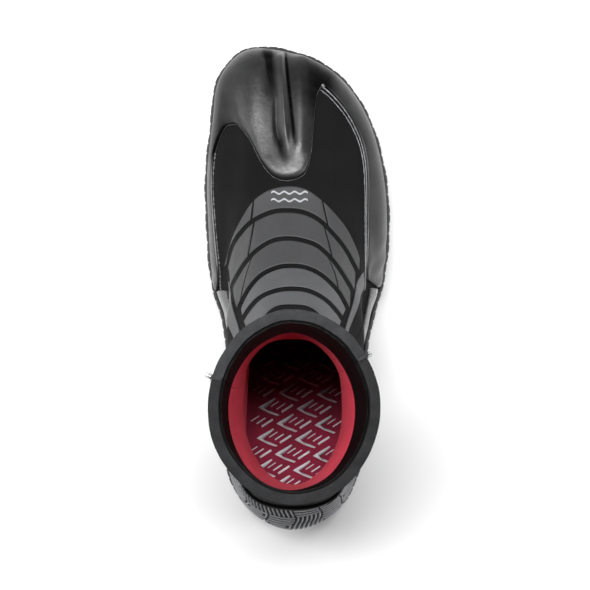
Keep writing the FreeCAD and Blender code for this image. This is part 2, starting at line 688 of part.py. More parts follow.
if __name__ == "__main__":
    os.makedirs("parts", exist_ok=True)
    total = Part.makeCompound([])
    for name, shape in build().items():
        shape.exportStep("parts/" + name + ".step")
        box = shape.BoundBox
        print(f"{name:22s} valid {shape.isValid()}  solids {len(shape.Solids):3d}  volume {shape.Volume:9.0f}"
              f"  x {box.XMin:6.1f} {box.XMax:6.1f}  y {box.YMin:6.1f} {box.YMax:6.1f}"
              f"  z {box.ZMin:5.1f} {box.ZMax:5.1f}")
        total.add(shape)
    box = total.BoundBox
    print("overall", [round(value, 2) for value in (box.XMin, box.XMax, box.YMin, box.YMax, box.ZMin, box.ZMax)])
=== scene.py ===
import math

import bpy
import numpy as np
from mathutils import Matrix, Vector


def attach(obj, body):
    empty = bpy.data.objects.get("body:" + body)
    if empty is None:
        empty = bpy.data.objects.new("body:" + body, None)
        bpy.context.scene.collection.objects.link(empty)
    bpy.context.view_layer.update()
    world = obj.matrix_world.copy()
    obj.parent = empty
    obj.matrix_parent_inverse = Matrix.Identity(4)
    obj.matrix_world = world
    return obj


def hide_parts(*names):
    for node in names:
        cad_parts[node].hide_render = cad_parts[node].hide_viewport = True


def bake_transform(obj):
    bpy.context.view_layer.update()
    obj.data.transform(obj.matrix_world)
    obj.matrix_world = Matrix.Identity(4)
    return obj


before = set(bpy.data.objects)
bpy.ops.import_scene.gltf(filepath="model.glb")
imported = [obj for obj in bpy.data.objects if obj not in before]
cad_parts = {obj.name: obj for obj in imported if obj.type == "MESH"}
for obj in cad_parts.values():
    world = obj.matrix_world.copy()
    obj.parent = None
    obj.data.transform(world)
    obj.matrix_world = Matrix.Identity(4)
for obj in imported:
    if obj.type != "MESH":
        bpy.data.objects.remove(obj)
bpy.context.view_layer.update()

# Lengths below are millimetres until a mesh is made; MM turns them into metres.
MM = 0.001
TAU = 2 * math.pi

# ---------------------------------------------------------------- dimensions shared with the CAD
NEOPRENE = 4.2
LINING = 0.9
SEAL = 1.1
RUBBER = 1.8
FOXING = 1.1
PRINT = 0.4
GAP = 0.1
SOLE_TOP = 6.0
LIP_TOP = 10.5
BOARD_TOP = 7.6
FOOTBED_TOP = 12.0
LUG_PITCH, LUG_WIDTH, LUG_WAVE, LUG_WAVELENGTH = 8.6, 4.8, 3.2, 16.0
LUG_HEIGHT, LUG_ROOT = 2.5, 2.7
HOOPS = {
    8: ((-2.4, -67.9), (32.0, 45.3)),
    9: ((-3.4, -67.2), (35.4, 45.3)),
    10: ((-1.8, -61.7), (42.9, 49.4)),
}
OUTER_SEAM, INNER_SEAM, HEEL_SEAM = 6.0, 17.0, 12.0
SEAM = 0.012
FOOT_TOP = 70.0
SEAL_BOTTOM_U = 9.35
ARC_LINE, LENGTH_LINE = 2.6, 1.4
SHIN_ENDS = (-4.6, 4.45)
HALF_LINE = 0.055
HEEL_CAP = (8.5, 15.5)
HEEL_CAP_TOP, HEEL_CAP_DROP = 80.0, 34.0
WALL_START, WALL_END = np.array((-4.6, 80.0)), np.array((-9.6, 127.0))

SOLE_EDGE = [
    (-17.3, 145.1, 0), (11.2, 137.6, 9), (31.7, 121.6, 18), (45.2, 98.6, 27),
    (53.2, 69.6, 36), (55.7, 36.6, 46), (52.2, 2.6, 58), (44.7, -25.4, 72),
    (41.5, -57.4, 90), (41.0, -91.4, 112), (33.7, -122.4, 136), (18.2, -139.4, 158),
    (-2.3, -144.9, 180), (-22.3, -139.4, 202), (-38.3, -122.4, 224), (-45.1, -91.4, 248),
    (-43.6, -57.4, 270), (-44.3, -25.4, 288), (-51.8, 2.6, 302), (-54.8, 36.6, 314),
    (-55.4, 69.6, 324), (-52.1, 100.6, 333), (-49.3, 122.6, 342), (-37.3, 140.1, 351),
]
COUNT = len(SOLE_EDGE)
CLIMB = {
    0.0: [(0, 0, 8.2), (-1.5, 0, 20), (2, 0, 34), (8, .052, 43.5), (10, .23, 49.5), (10, .45, 55.5),
          (8, .67, 66.5), (6, .857, 85), (0, .975, 112), (0, 1, 145), (0, 1, 182)],
    4.0: [(0, 0, 8.2), (-1.5, 0, 19), (2, 0, 32), (8, .064, 41), (12, .212, 49), (12, .403, 56),
          (10, .594, 64), (8, .785, 80), (0, .925, 110), (0, 1, 144), (0, 1, 181)],
    6.5: [(0, 0, 8.2), (-1.5, 0, 19), (1, 0, 32), (6, .055, 42), (8, .20, 52), (8, .365, 61),
          (7, .53, 71), (7, .70, 84), (0, .86, 108), (0, 1, 142), (0, 1, 179)],
    8.5: [(0, 0, 8.2), (-1.0, 0, 20), (1.5, 0, 34), (4, 0, 46), (6, .06, 57), (7.5, .14, 67),
          (9, .24, 78), (10, .34, 91), (0, 1, 108), (0, 1, 141), (0, 1, 177)],
    12.0: [(0, 0, 8.2), (-2, 0, 20), (-1.5, 0, 34), (.5, 0, 47), (1, .15, 58), (1, .33, 69),
           (1, .52, 80), (1, .76, 93), (0, 1, 112), (0, 1, 143), (0, 1, 178)],
}
RINGS = len(CLIMB[0.0])
TOP_U = RINGS - 1
SOLE_MARGIN = {0.0: (7.0, 7.0), 3.0: (5.4, 5.0), 8.0: (5.2, 5.0), 12.0: (5.2, 5.2)}

CAP_EDGE = [
    (-48.4, 79.0), (-45.4, 88.0), (-42.0, 93.8), (-37.7, 95.0), (-32.5, 92.3), (-28.0, 86.4), (-23.5, 77.5),
    (-20.0, 71.0), (-15.0, 65.0), (-10.0, 62.4), (-4.3, 62.0), (1.3, 63.6), (5.2, 67.6), (7.4, 75.0),
    (8.6, 84.0), (9.7, 98.0), (11.5, 112.0), (13.6, 117.5),
]
OUTER_RAND_EDGE = [
    (14.9, 116.5), (24.0, 108.0), (30.8, 99.0), (36.5, 87.6), (39.4, 76.0), (40.4, 64.7), (40.6, 53.0),
    (40.3, 41.8), (40.0, 30.5), (39.8, 19.0), (39.6, 8.0), (39.4, -2.0),
]
INNER_RAND_EDGE = [
    (-48.6, 78.4), (-49.6, 66.0), (-49.4, 53.0), (-48.4, 37.0), (-46.8, 19.5), (-45.6, 8.0), (-45.2, -2.0),
]
ARCS = [
    [(-42.3, 13.0), (-39.8, 23.7), (-36.2, 32.4), (-31.6, 41.2), (-25.4, 50.0), (-16.5, 56.1), (-5.4, 58.4),
     (4.6, 56.8), (13.5, 51.1), (21.3, 43.3), (29.1, 33.4), (34.7, 22.3), (36.8, 16.0)],
    [(-41.2, 11.0), (-36.7, 23.4), (-30.9, 31.6), (-24.2, 37.5), (-14.2, 42.0), (-5.4, 42.9), (3.5, 41.8),
     (12.3, 37.5), (20.0, 29.8), (27.8, 19.8), (34.2, 8.2)],
    [(-37.0, -0.8), (-35.6, 2.1), (-29.5, 12.0), (-22.9, 19.6), (-14.1, 25.1), (-5.4, 26.5), (3.4, 25.4),
     (12.2, 21.8), (20.9, 13.0), (29.6, -0.1), (31.0, -3.0)],
    [(-32.2, -13.2), (-31.2, -10.4), (-26.8, -2.3), (-20.4, 5.2), (-11.8, 9.6), (-3.1, 10.7), (5.5, 9.6),
     (14.2, 5.2), (22.7, -3.4), (26.6, -10.0), (28.0, -13.0)],
    [(-30.3, -19.3), (-25.3, -11.9), (-19.1, -6.1), (-10.6, -2.9), (-2.0, -2.2), (6.5, -3.4), (14.9, -7.7),
     (21.2, -14.0), (25.0, -19.2)],
]
WINGS = {
    "inner_side_band": (
        [(3.5, -5.9), (5.0, -5.62), (6.5, -5.2), (7.3, -5.2), (7.9, -5.4)],
        [(3.1, -6.35), (4.8, -6.4), (6.2, -6.15), (7.1, -5.9), (7.9, -5.95)]),
    "outer_side_band": (
        [(4.4, 5.45), (5.2, 5.2), (6.4, 4.78), (7.3, 4.84), (7.9, 5.08)],
        [(4.1, 5.85), (5.0, 5.68), (6.4, 5.27), (7.3, 5.2), (7.9, 5.32)]),
}
LINE_INNER = [(58.0, -26.0), (48.9, -26.0), (35.3, -25.3), (18.5, -26.2), (-2.3, -28.9), (-12.0, -31.0)]
LINE_OUTER = [(58.0, 14.8), (51.2, 15.2), (36.5, 16.2), (18.5, 17.9), (-2.3, 21.8), (-12.0, 25.0)]


# ---------------------------------------------------------------- the skin, as in the CAD
def smooth(t):
    t = np.clip(t, 0.0, 1.0)
    return t * t * (3 - 2 * t)


def ease(a, b, t):
    return a + (b - a) * float(smooth(t))


def between(table, x):
    keys = sorted(table)
    for low, high in zip(keys, keys[1:]):
        if x <= high:
            return table[low], table[high], (x - low) / (high - low)
    return table[keys[-1]], table[keys[-1]], 0.0


def edge_normal(j):
    ax, ay, _ = SOLE_EDGE[(j - 1) % COUNT]
    bx, by, _ = SOLE_EDGE[(j + 1) % COUNT]
    length = math.hypot(bx - ax, by - ay)
    return -(by - ay) / length, (bx - ax) / length


def skin_rings():
    rings = np.zeros((RINGS, COUNT, 3))
    for j, (x, y, angle) in enumerate(SOLE_EDGE):
        nx, ny = edge_normal(j)
        folded, side = (j, 0) if j <= COUNT / 2 else (COUNT - j, 1)
        low, high, t = between(SOLE_MARGIN, folded)
        margin = ease(low[side], high[side], t)
        low, high, t = between(CLIMB, folded)
        a = math.radians(angle)
        for k, (one, two) in enumerate(zip(low, high)):
            centre, half = HOOPS.get(k, HOOPS[TOP_U])
            hoop = (centre[0] + half[0] * math.sin(a), centre[1] + half[1] * math.cos(a))
            inset, share, height = (ease(p, q, t) for p, q in zip(one, two))
            px, py = x - nx * (inset + margin), y - ny * (inset + margin)
            rings[k, j] = (px + share * (hoop[0] - px), py + share * (hoop[1] - py), height)
    return rings


def closed_controls(points):
    """Controls of the uniform cubic B-spline through closed rows of points, along axis 0."""
    n = len(points)
    matrix = np.zeros((n, n))
    for i in range(n):
        matrix[i, i] = 4 / 6
        matrix[i, (i + 1) % n] = matrix[i, i - 1] = 1 / 6
    return np.linalg.solve(matrix, points.reshape(n, -1)).reshape(points.shape)


def open_controls(points):
    n = len(points)
    matrix = np.zeros((n + 2, n + 2))
    for i in range(n):
        matrix[i + 1, i:i + 3] = (1 / 6, 4 / 6, 1 / 6)
    matrix[0, :3] = matrix[-1, -3:] = (1, -2, 1)
    right = np.zeros((n + 2,) + points.shape[1:])
    right[1:-1] = points
    return np.linalg.solve(matrix, right.reshape(n + 2, -1)).reshape(right.shape)


NET = open_controls(closed_controls(skin_rings().transpose(1, 0, 2)).transpose(1, 0, 2))
EDGE_NET = closed_controls(np.array([(x, y) for x, y, _ in SOLE_EDGE]))


def weights(t):
    one = (1 - t) ** 3 / 6
    two = (3 * t ** 3 - 6 * t ** 2 + 4) / 6
    four = t ** 3 / 6
    return np.stack([one, two, 1 - one - two - four, four])


def skin_point(u, v):
    u, v = np.broadcast_arrays(np.asarray(u, float), np.asarray(v, float))
    i = np.clip(np.floor(u).astype(int), 0, RINGS - 2)
    j = np.floor(v).astype(int)
    wu, wv = weights(u - i), weights(v - j)
    out = np.zeros(u.shape + (3,))
    for b in range(4):
        for a in range(4):
            out += (wu[a] * wv[b])[..., None] * NET[i + a, (j - 1 + b) % COUNT]
    return out


def skin_normal(u, v):
    h = 0.02
    du = skin_point(u + h, v) - skin_point(u - h, v)
    dv = skin_point(u, v + h) - skin_point(u, v - h)
    n = np.cross(du, dv)
    return n / np.linalg.norm(n, axis=-1, keepdims=True)


def sway(p):
    """Slow unevenness of the soft upper, the same for every layer of it, in mm."""
    x, y, z = p[..., 0], p[..., 1], p[..., 2]
    slow = np.sin(x / 13 + 1.7 * np.sin(y / 31)) * np.sin(z / 15 + y / 23)
    quick = np.sin(y / 8.5 + z / 11 + 2 * np.sin(x / 19)) * np.sin(x / 12 - z / 17)
    return (0.28 * slow + 0.16 * quick) * smooth((z - 16) / 25)


def skin(u, v, depth=0.0, swayed=True):
    p = skin_point(u, v)
    depth = np.asarray(depth, float)
    if swayed:
        depth = depth + sway(p)
    return p + skin_normal(u, v) * np.broadcast_to(depth, p.shape[:-1])[..., None]


def halve(before, high):
    """Where a test turns false, between 0 and high."""
    low = 0.0
    for _ in range(40):
        middle = (low + high) / 2
        low, high = (middle, high) if before(middle) else (low, middle)
    return low


def u_at_height(v, height):
    return halve(lambda u: skin_point(u, v)[2] < height, float(TOP_U))


def starting_grid():
    """Rows of x, y, u, v over the front of the boot, to start a search from."""
    u, v = np.meshgrid(np.arange(3, 20) / 2, np.arange(-14, 15) / 2, indexing="ij")
    return np.concatenate([skin_point(u, v)[..., :2], u[..., None], v[..., None]], axis=-1).reshape(-1, 4)


GRID = starting_grid()


def on_skin(points):
    """u, v of the skin above plan points, on the front of the boot."""
    points = np.asarray(points, float)
    near = np.argmin(((points[:, None, :] - GRID[None, :, :2]) ** 2).sum(-1), axis=1)
    u, v = GRID[near, 2].copy(), GRID[near, 3].copy()
    h = 0.01
    for _ in range(30):
        p = skin_point(u, v)
        a = (skin_point(u + h, v) - p) / h
        b = (skin_point(u, v + h) - p) / h
        e = points - p[:, :2]
        turn = a[:, 0] * b[:, 1] - b[:, 0] * a[:, 1]
        du = (e[:, 0] * b[:, 1] - e[:, 1] * b[:, 0]) / turn
        dv = (e[:, 1] * a[:, 0] - e[:, 0] * a[:, 1]) / turn
        cut = np.minimum(1.0, 0.5 / np.maximum(np.maximum(abs(du), abs(dv)), 1e-9))
        u = np.clip(u + du * cut, 0, TOP_U)
        v = v + dv * cut
    return np.stack([u, v], axis=-1)


def run_of(points):
    """Length along a row of points, from its start."""
    return np.concatenate([[0], np.cumsum(np.linalg.norm(np.diff(points, axis=0), axis=1))])


def along(points, t):
    """Points at shares t of a smooth curve through points, evenly by length."""
    points = np.asarray(points, float)
    t = np.atleast_1d(np.asarray(t, float))
    lengths = run_of(points)
    want = t * lengths[-1]
    i = np.clip(np.searchsorted(lengths[1:], want, side="left"), 0, len(points) - 2)
    f = ((want - lengths[i]) / np.diff(lengths)[i])[:, None]
    padded = np.concatenate([[2 * points[0] - points[1]], points, [2 * points[-1] - points[-2]]])
    p, q, r, s = padded[i], padded[i + 1], padded[i + 2], padded[i + 3]
    return q + 0.5 * f * (r - p + f * (2 * p - 5 * q + 4 * r - s + f * (3 * (q - r) + s - p)))


def level(v_low, v_high, u):
    """Edge at constant u, or at u(v), from v_low to v_high."""
    def edge(t):
        v = v_low + (v_high - v_low) * np.asarray(t, float)
        known = np.linspace(v_low, v_high, 60)
        across = np.interp(v, known, [u(k) for k in known]) if callable(u) else np.full_like(v, u)
        return np.stack([across, v], axis=-1)
    return edge


def traced(points):
    located = on_skin(points)
    return lambda t: along(located, t)


def shifted(edge, du):
    return lambda t: edge(t) + np.array([du, 0.0])


def foot_edge(v):
    return u_at_height(v, FOOT_TOP)


def vamp_edge():
    inner_v, outer_v = INNER_SEAM - COUNT, OUTER_SEAM
    middle = on_skin(ARCS[3][1:-1])
    first, last = np.array([(foot_edge(v), v) for v in (inner_v, outer_v)])
    dip = np.array((0.1, 0.0))
    points = [first, (first + middle[0]) / 2 - dip, *middle, (last + middle[-1]) / 2 - dip, last]
    return lambda t: along(points, t)


def span(edge_a, edge_b, columns, rows):
    """u and v of a grid between two edges, columns along them and rows across."""
    s = np.linspace(0, 1, columns)
    a, b = edge_a(s), edge_b(s)
    t = np.linspace(0, 1, rows)[None, :, None]
    grid = a[:, None, :] * (1 - t) + b[:, None, :] * t
    return grid[..., 0], grid[..., 1]


# ---------------------------------------------------------------- materials
class Nodes:
    """A procedural material, built on a Principled shader."""

    def __init__(self, name):
        self.material = bpy.data.materials.new(name)
        self.material.use_nodes = True
        self.tree = self.material.node_tree
        self.shader = self.tree.nodes["Principled BSDF"]
        self.place = self.add("ShaderNodeTexCoord").outputs["Object"]

    def add(self, kind, inputs=None, **settings):
        node = self.tree.nodes.new(kind)
        for key, value in settings.items():
            setattr(node, key, value)
        for key, value in (inputs or {}).items():
            self.put(node.inputs[key], value)
        return node

    def put(self, socket, value):
        if isinstance(value, bpy.types.NodeSocket):
            self.tree.links.new(value, socket)
        else:
            socket.default_value = value

    def set(self, **inputs):
        for key, value in inputs.items():
            self.put(self.shader.inputs[key.replace("_", " ")], value)

    def noise(self, scale, detail, roughness=0.5):
        node = self.add("ShaderNodeTexNoise", {
            "Vector": self.place, "Scale": scale, "Detail": detail, "Roughness": roughness})
        return node.outputs["Fac"]

    def cells(self, scale):
        node = self.add("ShaderNodeTexVoronoi", {"Vector": self.place, "Scale": scale})
        return node.outputs["Distance"]

    def math(self, operation, a, b=0.0):
        return self.add("ShaderNodeMath", {0: a, 1: b}, operation=operation).outputs[0]

    def range(self, value, low=0.3, high=0.7, to_low=0.0, to_high=1.0):
        node = self.add("ShaderNodeMapRange", {
            "Value": value, "From Min": low, "From Max": high, "To Min": to_low, "To Max": to_high})
        return node.outputs["Result"]

    def mix(self, factor, a, b):
        node = self.add("ShaderNodeMix", data_type="RGBA")
        self.put(node.inputs[0], factor)
        self.put(node.inputs[6], a)
        self.put(node.inputs[7], b)
        return node.outputs[2]

    def mottle(self, cloud, dark, light):
        """Grey between two values, by a cloud of noise."""
        return self.mix(self.range(cloud), grey(dark), grey(light))

    def bumps(self, *layers):
        """Relief from layers of height, strength and distance, the first laid down first."""
        below = {}
        for height, strength, distance in layers:
            node = self.add("ShaderNodeBump", {
                "Height": height, "Strength": strength, "Distance": distance, **below})
            below = {"Normal": node.outputs["Normal"]}
        self.set(**below)

    def forward(self, start, end):
        """0 behind the plane at Y = start and 1 ahead of Y = end, in metres."""
        split = self.add("ShaderNodeSeparateXYZ", {"Vector": self.place})
        return self.range(split.outputs["Y"], start, end)

    def tone(self):
        return self.add("ShaderNodeAttribute", attribute_name="tone").outputs["Fac"]


def grey(value):
    """Slightly cool grey."""
    return (value * 0.98, value * 0.99, value * 1.04, 1.0)


# Painted shade: the footbed's colours fade to black between these two Y, in metres, for the shade deep in
# the toe.
FOOTBED_PAINTED_SHADE = (-0.084, -0.044)


def rubber(name, dark, light, roughness, grain=0.25, coat=0.0, shine=0.5):
    """Moulded rubber: faint mottling, a fine grain, and dust that dulls it in places."""
    m = Nodes(name)
    cloud = m.noise(38, 3)
    dust = m.noise(520, 4, 0.65)
    m.set(Base_Color=m.mix(m.range(cloud, 0.35, 0.65), grey(dark), grey(light)))
    worn = m.range(cloud, 0.3, 0.7, roughness - 0.05, roughness + 0.06)
    m.set(Roughness=m.math("ADD", worn, m.range(dust, 0.35, 0.75, -0.04, 0.07)))
    m.bumps((m.noise(1500, 2), grain, 0.00012), (m.noise(230, 3), grain * 0.8, 0.0003))
    m.set(Coat_Weight=coat, Coat_Roughness=0.28, Specular_IOR_Level=shine)
    return m.material


def moulded_rubber(name):
    """Satin rubber, with painted highlights on its high spots and painted shade in its grooves, in colour
    and shine, as the mesh's tone says.
    """
    m = Nodes(name)
    cloud, dust = m.noise(45, 4, 0.6), m.noise(520, 4, 0.65)
    light = m.math("ADD", m.tone(), m.range(cloud, 0.3, 0.7, -0.10, 0.10))
    m.set(Base_Color=m.mix(light, grey(0.002), grey(0.030)))
    m.set(Specular_IOR_Level=m.range(light, 0.0, 1.0, 0.06, 0.85))
    worn = m.range(cloud, 0.3, 0.7, 0.30, 0.40)
    m.set(Roughness=m.math("ADD", worn, m.range(dust, 0.35, 0.75, -0.04, 0.08)))
    m.bumps((m.noise(1500, 2), 0.25, 0.00012), (m.noise(170, 4, 0.6), 0.22, 0.0006))
    return m.material


def jersey(name, dark, light):
    """Foam rubber faced with fine matt jersey."""
    m = Nodes(name)
    cloud, fleck = m.noise(30, 3), m.noise(900, 3, 0.7)
    base = m.mottle(cloud, dark, light)
    m.set(Base_Color=m.mix(m.range(fleck, 0.52, 0.8, 0, 0.5), base, grey(light * 2.3)))
    m.set(Roughness=m.range(fleck, 0.3, 0.7, 0.78, 0.92), Specular_IOR_Level=0.11)
    m.set(Sheen_Weight=0.02, Sheen_Roughness=0.45)
    m.bumps((m.cells(1250), 0.5, 0.00022), (m.noise(240, 3), 0.3, 0.0005))
    return m.material


def foam(name, dark, light):
    """Cut edge of the foam: tiny open cells."""
    m = Nodes(name)
    m.set(Base_Color=m.mottle(m.noise(160, 4), dark, light))
    m.set(Roughness=0.88, Specular_IOR_Level=0.2)
    m.bumps((m.cells(1700), 0.55, 0.0003), (m.noise(420, 3), 0.35, 0.0004))
    return m.material


def plush(name, deep, bright):
    """Short thick pile that lightens at grazing angles."""
    m = Nodes(name)
    cloud, pile = m.noise(45, 4, 0.6), m.noise(1900, 3, 0.7)
    base = m.mix(m.range(cloud), deep, bright)
    shade = tuple(c * 0.5 for c in deep[:3]) + (1,)
    m.set(Base_Color=m.mix(m.range(pile, 0.3, 0.6, 0.35, 0.0), base, shade))
    m.set(Roughness=0.95, Sheen_Weight=0.12, Sheen_Roughness=0.5, Specular_IOR_Level=0.15)
    m.put(m.shader.inputs["Sheen Tint"], (1.0, 0.40, 0.45, 1))
    m.bumps((m.noise(140, 3), 0.25, 0.0009), (pile, 0.6, 0.0005))
    return m.material


def printed(name, dark, light, roughness, painted_toe_shade=False):
    """Flexible print: even, with a fine orange peel and rubbed high spots."""
    m = Nodes(name)
    cloud, worn = m.noise(60, 4, 0.6), m.noise(420, 4, 0.7)
    base = m.mottle(cloud, dark, light)
    base = m.mix(m.range(worn, 0.6, 0.8, 0, 0.45), base, grey(dark * 0.55))
    # Where asked, the colour fades to black toward the toe: painted shade.
    m.set(Base_Color=m.mix(m.forward(*FOOTBED_PAINTED_SHADE), base, grey(0.004)) if painted_toe_shade else base)
    m.set(Roughness=m.range(worn, 0.3, 0.7, roughness - 0.06, roughness + 0.08))
    m.bumps((m.noise(300, 2), 0.2, 0.0003), (m.cells(1100), 0.22, 0.00015))
    return m.material


def relief_rubber(name, groove, top, roughness, dull=0.5):
    """Rubber whose raised parts, marked by the mesh's tone, are lighter, unevenly by a noise."""
    m = Nodes(name)
    dust = m.noise(700, 4, 0.7)
    high = m.math("MULTIPLY", m.tone(), m.range(dust, 0.25, 0.7, 0.6, 1.0))
    m.set(Base_Color=m.mix(high, grey(groove), grey(top)))
    m.set(Specular_IOR_Level=m.range(high, 0.0, 1.0, dull, 0.5))
    m.set(Roughness=m.range(dust, 0.3, 0.7, roughness, roughness + 0.12))
    m.bumps((m.noise(1300, 2), 0.3, 0.00015))
    return m.material


def footbed_cover():
    """Knit over the footbed."""
    m = Nodes("footbed_knit")
    cloud, pile = m.noise(60, 4, 0.6), m.noise(1500, 3, 0.7)
    base = m.mix(m.range(cloud), (0.20, 0.008, 0.032, 1), (0.32, 0.014, 0.054, 1))
    base = m.mix(m.range(pile, 0.3, 0.6, 0.4, 0), base, (0.02, 0.004, 0.012, 1))
    # Painted shade: toward the toe the knit fades to near black.
    m.set(Base_Color=m.mix(m.forward(*FOOTBED_PAINTED_SHADE), base, (0.004, 0.001, 0.005, 1)))
    m.set(Roughness=0.93, Sheen_Weight=0.1)
    m.bumps((m.noise(150, 3), 0.2, 0.001), (m.cells(900), 0.5, 0.0004))
    return m.material


def strands(name, colour):
    """Twisted thread."""
    m = Nodes(name)
    m.set(Base_Color=m.mix(m.noise(900, 3), colour, tuple(c * 1.8 for c in colour[:3]) + (1,)))
    m.set(Roughness=0.7)
    m.bumps((m.noise(3500, 1), 0.5, 0.0001))
    return m.material


MAT = {
    "jersey": jersey("black_jersey", 0.0045, 0.0075),
    # The front and back cut edges are lit and shaded copies of one foam: the back's darker colour is
    # painted shade.
    "cut_front_lit": foam("cut_foam_front_lit", 0.030, 0.045),
    "cut_back_shaded": foam("cut_foam_back_shaded", 0.016, 0.026),
    "cap": moulded_rubber("satin_rubber"),
    # The beads are glossy black rubber; their light grey colour is a painted highlight.
    "bead": rubber("gloss_rubber", 0.14, 0.22, 0.26, 0.2, 0.3),
    "foxing": rubber("foxing_rubber", 0.013, 0.022, 0.28, 0.25, 0.5, 0.6),
    "sole": relief_rubber("sole_rubber", 0.016, 0.048, 0.60),
    "heel": relief_rubber("heel_rubber", 0.0012, 0.32, 0.50, 0.04),
    "print": printed("grey_print", 0.034, 0.042, 0.52),
    # A lighter copy of the grey print for the ankle, shin and side bands: painted light, where the light
    # falls more.
    "print_lit": printed("grey_print_lit", 0.060, 0.072, 0.48),
    "mark": printed("light_print", 0.36, 0.44, 0.55),
    "red": plush("red_plush", (0.56, 0.028, 0.060, 1), (0.74, 0.046, 0.092, 1)),
    "seal": rubber("smooth_skin", 0.0015, 0.0025, 0.55, 0.18, 0.0, 0.12),
    "footbed": footbed_cover(),
    "grip": printed("silicone_grip", 0.62, 0.78, 0.34, painted_toe_shade=True),
    "board": jersey("lasting_cloth", 0.03, 0.05),
    "thread": strands("black_thread", (0.02, 0.02, 0.022, 1)),
    "glue": rubber("dried_glue", 0.045, 0.09, 0.35, 0.4, 0.2),
}


# ---------------------------------------------------------------- meshes
def placed(name, data):
    made = bpy.data.objects.new(name, data)
    bpy.context.scene.collection.objects.link(made)
    return made


class Build:
    """Collects grids and tubes, in mm, into one mesh."""

    def __init__(self):
        self.points, self.faces, self.materials, self.tones, self.count = [], [], [], [], 0

    def add(self, points, faces, material=0, tone=None):
        points = np.asarray(points, float).reshape(-1, 3)
        self.points.append(points)
        self.faces.extend([tuple(int(i) + self.count for i in face) for face in faces])
        self.materials.extend([material] * len(faces) if np.isscalar(material) else list(material))
        self.tones.append(np.zeros(len(points)) if tone is None else np.asarray(tone, float).ravel())
        self.count += len(points)

    def shell(self, outer, inner, rim=0, tone=None):
        """Closed shell between two grids of points, [column, row]; rim is the material of its
        side at the last row."""
        n, m = outer.shape[:2]
        quads, count = grid_quads(n, m), n * m
        number = np.arange(count).reshape(n, m)

        def wall(line, turned=False):
            if turned:
                return [(a, a + count, b + count, b) for a, b in zip(line, line[1:])]
            return [(a, b, b + count, a + count) for a, b in zip(line, line[1:])]
        faces = [*quads[:, ::-1], *(quads + count), *wall(number[:, 0]), *wall(number[-1]),
                 *wall(number[0], True), *wall(number[:, -1], True)]
        kinds = [0] * (len(faces) - n + 1) + [rim] * (n - 1)
        points = np.concatenate([outer.reshape(-1, 3), inner.reshape(-1, 3)])
        if tone is not None:
            tone = np.concatenate([tone.ravel(), np.zeros(count)])
        self.add(points, faces, kinds, tone)

    def tube(self, line, radius, sides=6, material=0, flat=1.0, up=None):
        """Tube along points; flat squeezes it along up, one direction for each point."""
        line = np.asarray(line, float)
        ahead = np.gradient(line, axis=0)
        ahead /= np.linalg.norm(ahead, axis=1, keepdims=True)
        if up is None:
            up = np.tile([0.31, 0.22, 0.93], (len(line), 1))
        side = np.cross(ahead, up)
        side /= np.maximum(np.linalg.norm(side, axis=1, keepdims=True), 1e-9)
        top = np.cross(side, ahead)
        a = np.arange(sides) * TAU / sides
        radius = np.broadcast_to(radius, (len(line),))[:, None, None]
        ring = side[:, None] * np.cos(a)[None, :, None] + top[:, None] * np.sin(a)[None, :, None] * flat
        points = line[:, None] + ring * radius
        n = len(line)
        ends = [tuple(range(sides))[::-1], tuple((n - 1) * sides + k for k in range(sides))]
        self.add(points, ring_quads(n, sides) + ends, material)

    def piece(self, name, materials, body, nodes=(), bevel=0.0):
        """Makes the object, parents it to its body, or bakes its transform where it spans a joint, and
        hides
        the CAD nodes that it stands for: the one of its own name, unless others are given."""
        mesh = bpy.data.meshes.new(name)
        mesh.from_pydata((np.concatenate(self.points) * MM).tolist(), [], self.faces)
        for material in materials:
            mesh.materials.append(MAT[material])
        mesh.polygons.foreach_set("material_index", np.array(self.materials, dtype=np.int32))
        mesh.polygons.foreach_set("use_smooth", np.ones(len(self.faces), dtype=bool))
        mesh.attributes.new("tone", "FLOAT", "POINT").data.foreach_set(
            "value", np.concatenate(self.tones).astype(np.float32))
        mesh.update()
        made = placed(name, mesh)
        if bevel:
            modifier = made.modifiers.new("rounding", "BEVEL")
            modifier.width = bevel * MM
            modifier.segments = 2
            modifier.limit_method = "ANGLE"
            modifier.angle_limit = math.radians(50)
        if isinstance(body, str):
            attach(made, body)
        else:
            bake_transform(made)
        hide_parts(*(nodes or (name,)))
        return made


def ring_quads(levels, n, closed=False):
    """Faces between closed rings of n points, one ring after another, or round to the first."""
    pairs = [(k * n, (k + 1) % levels * n) for k in range(levels if closed else levels - 1)]
    return [(a + q, a + (q + 1) % n, b + (q + 1) % n, b + q) for a, b in pairs for q in range(n)]


def grid_quads(n, m):
    """Faces of a grid of n by m points."""
    i, j = np.meshgrid(np.arange(n - 1), np.arange(m - 1), indexing="ij")
    a = (i * m + j).ravel()
    return np.stack([a, a + m, a + m + 1, a + 1], axis=-1)


# Where pieces bend: between the foot and the forefoot at the ball, and between the foot and
# the shaft at the ankle.
BALL = np.array([-1.3, 50.6, 9.0])
BALL_WAY = np.array([0.2966, 0.955, 0.0])
TOE_BEND = ("foot", "forefoot", tuple((BALL - 25 * BALL_WAY) * MM), tuple((BALL + 25 * BALL_WAY) * MM))
ANKLE_BEND = ("foot", "shaft", (0.0, -0.063, 0.0945), (0.0, -0.063, 0.1345))


OVAL = np.array([angle for _, _, angle in SOLE_EDGE] + [360.0])


def sideness(v):
    """1 at the sides of the cuff, 0 at its front and back."""
    angle = np.interp(np.mod(v, COUNT), np.arange(COUNT + 1), OVAL)
    return np.sin(np.radians(angle)) ** 2


def at_rim(u):
    """0 below the thick top of the cuff, rising to 1 at its rim."""
    return smooth((u - 8.9) / 1.1)


def foam_outer(u, v):
    return at_rim(u) * (sideness(v) - 0.3)


def foam_inner(u, v):
    return -NEOPRENE - at_rim(u) * (1.7 - sideness(v))


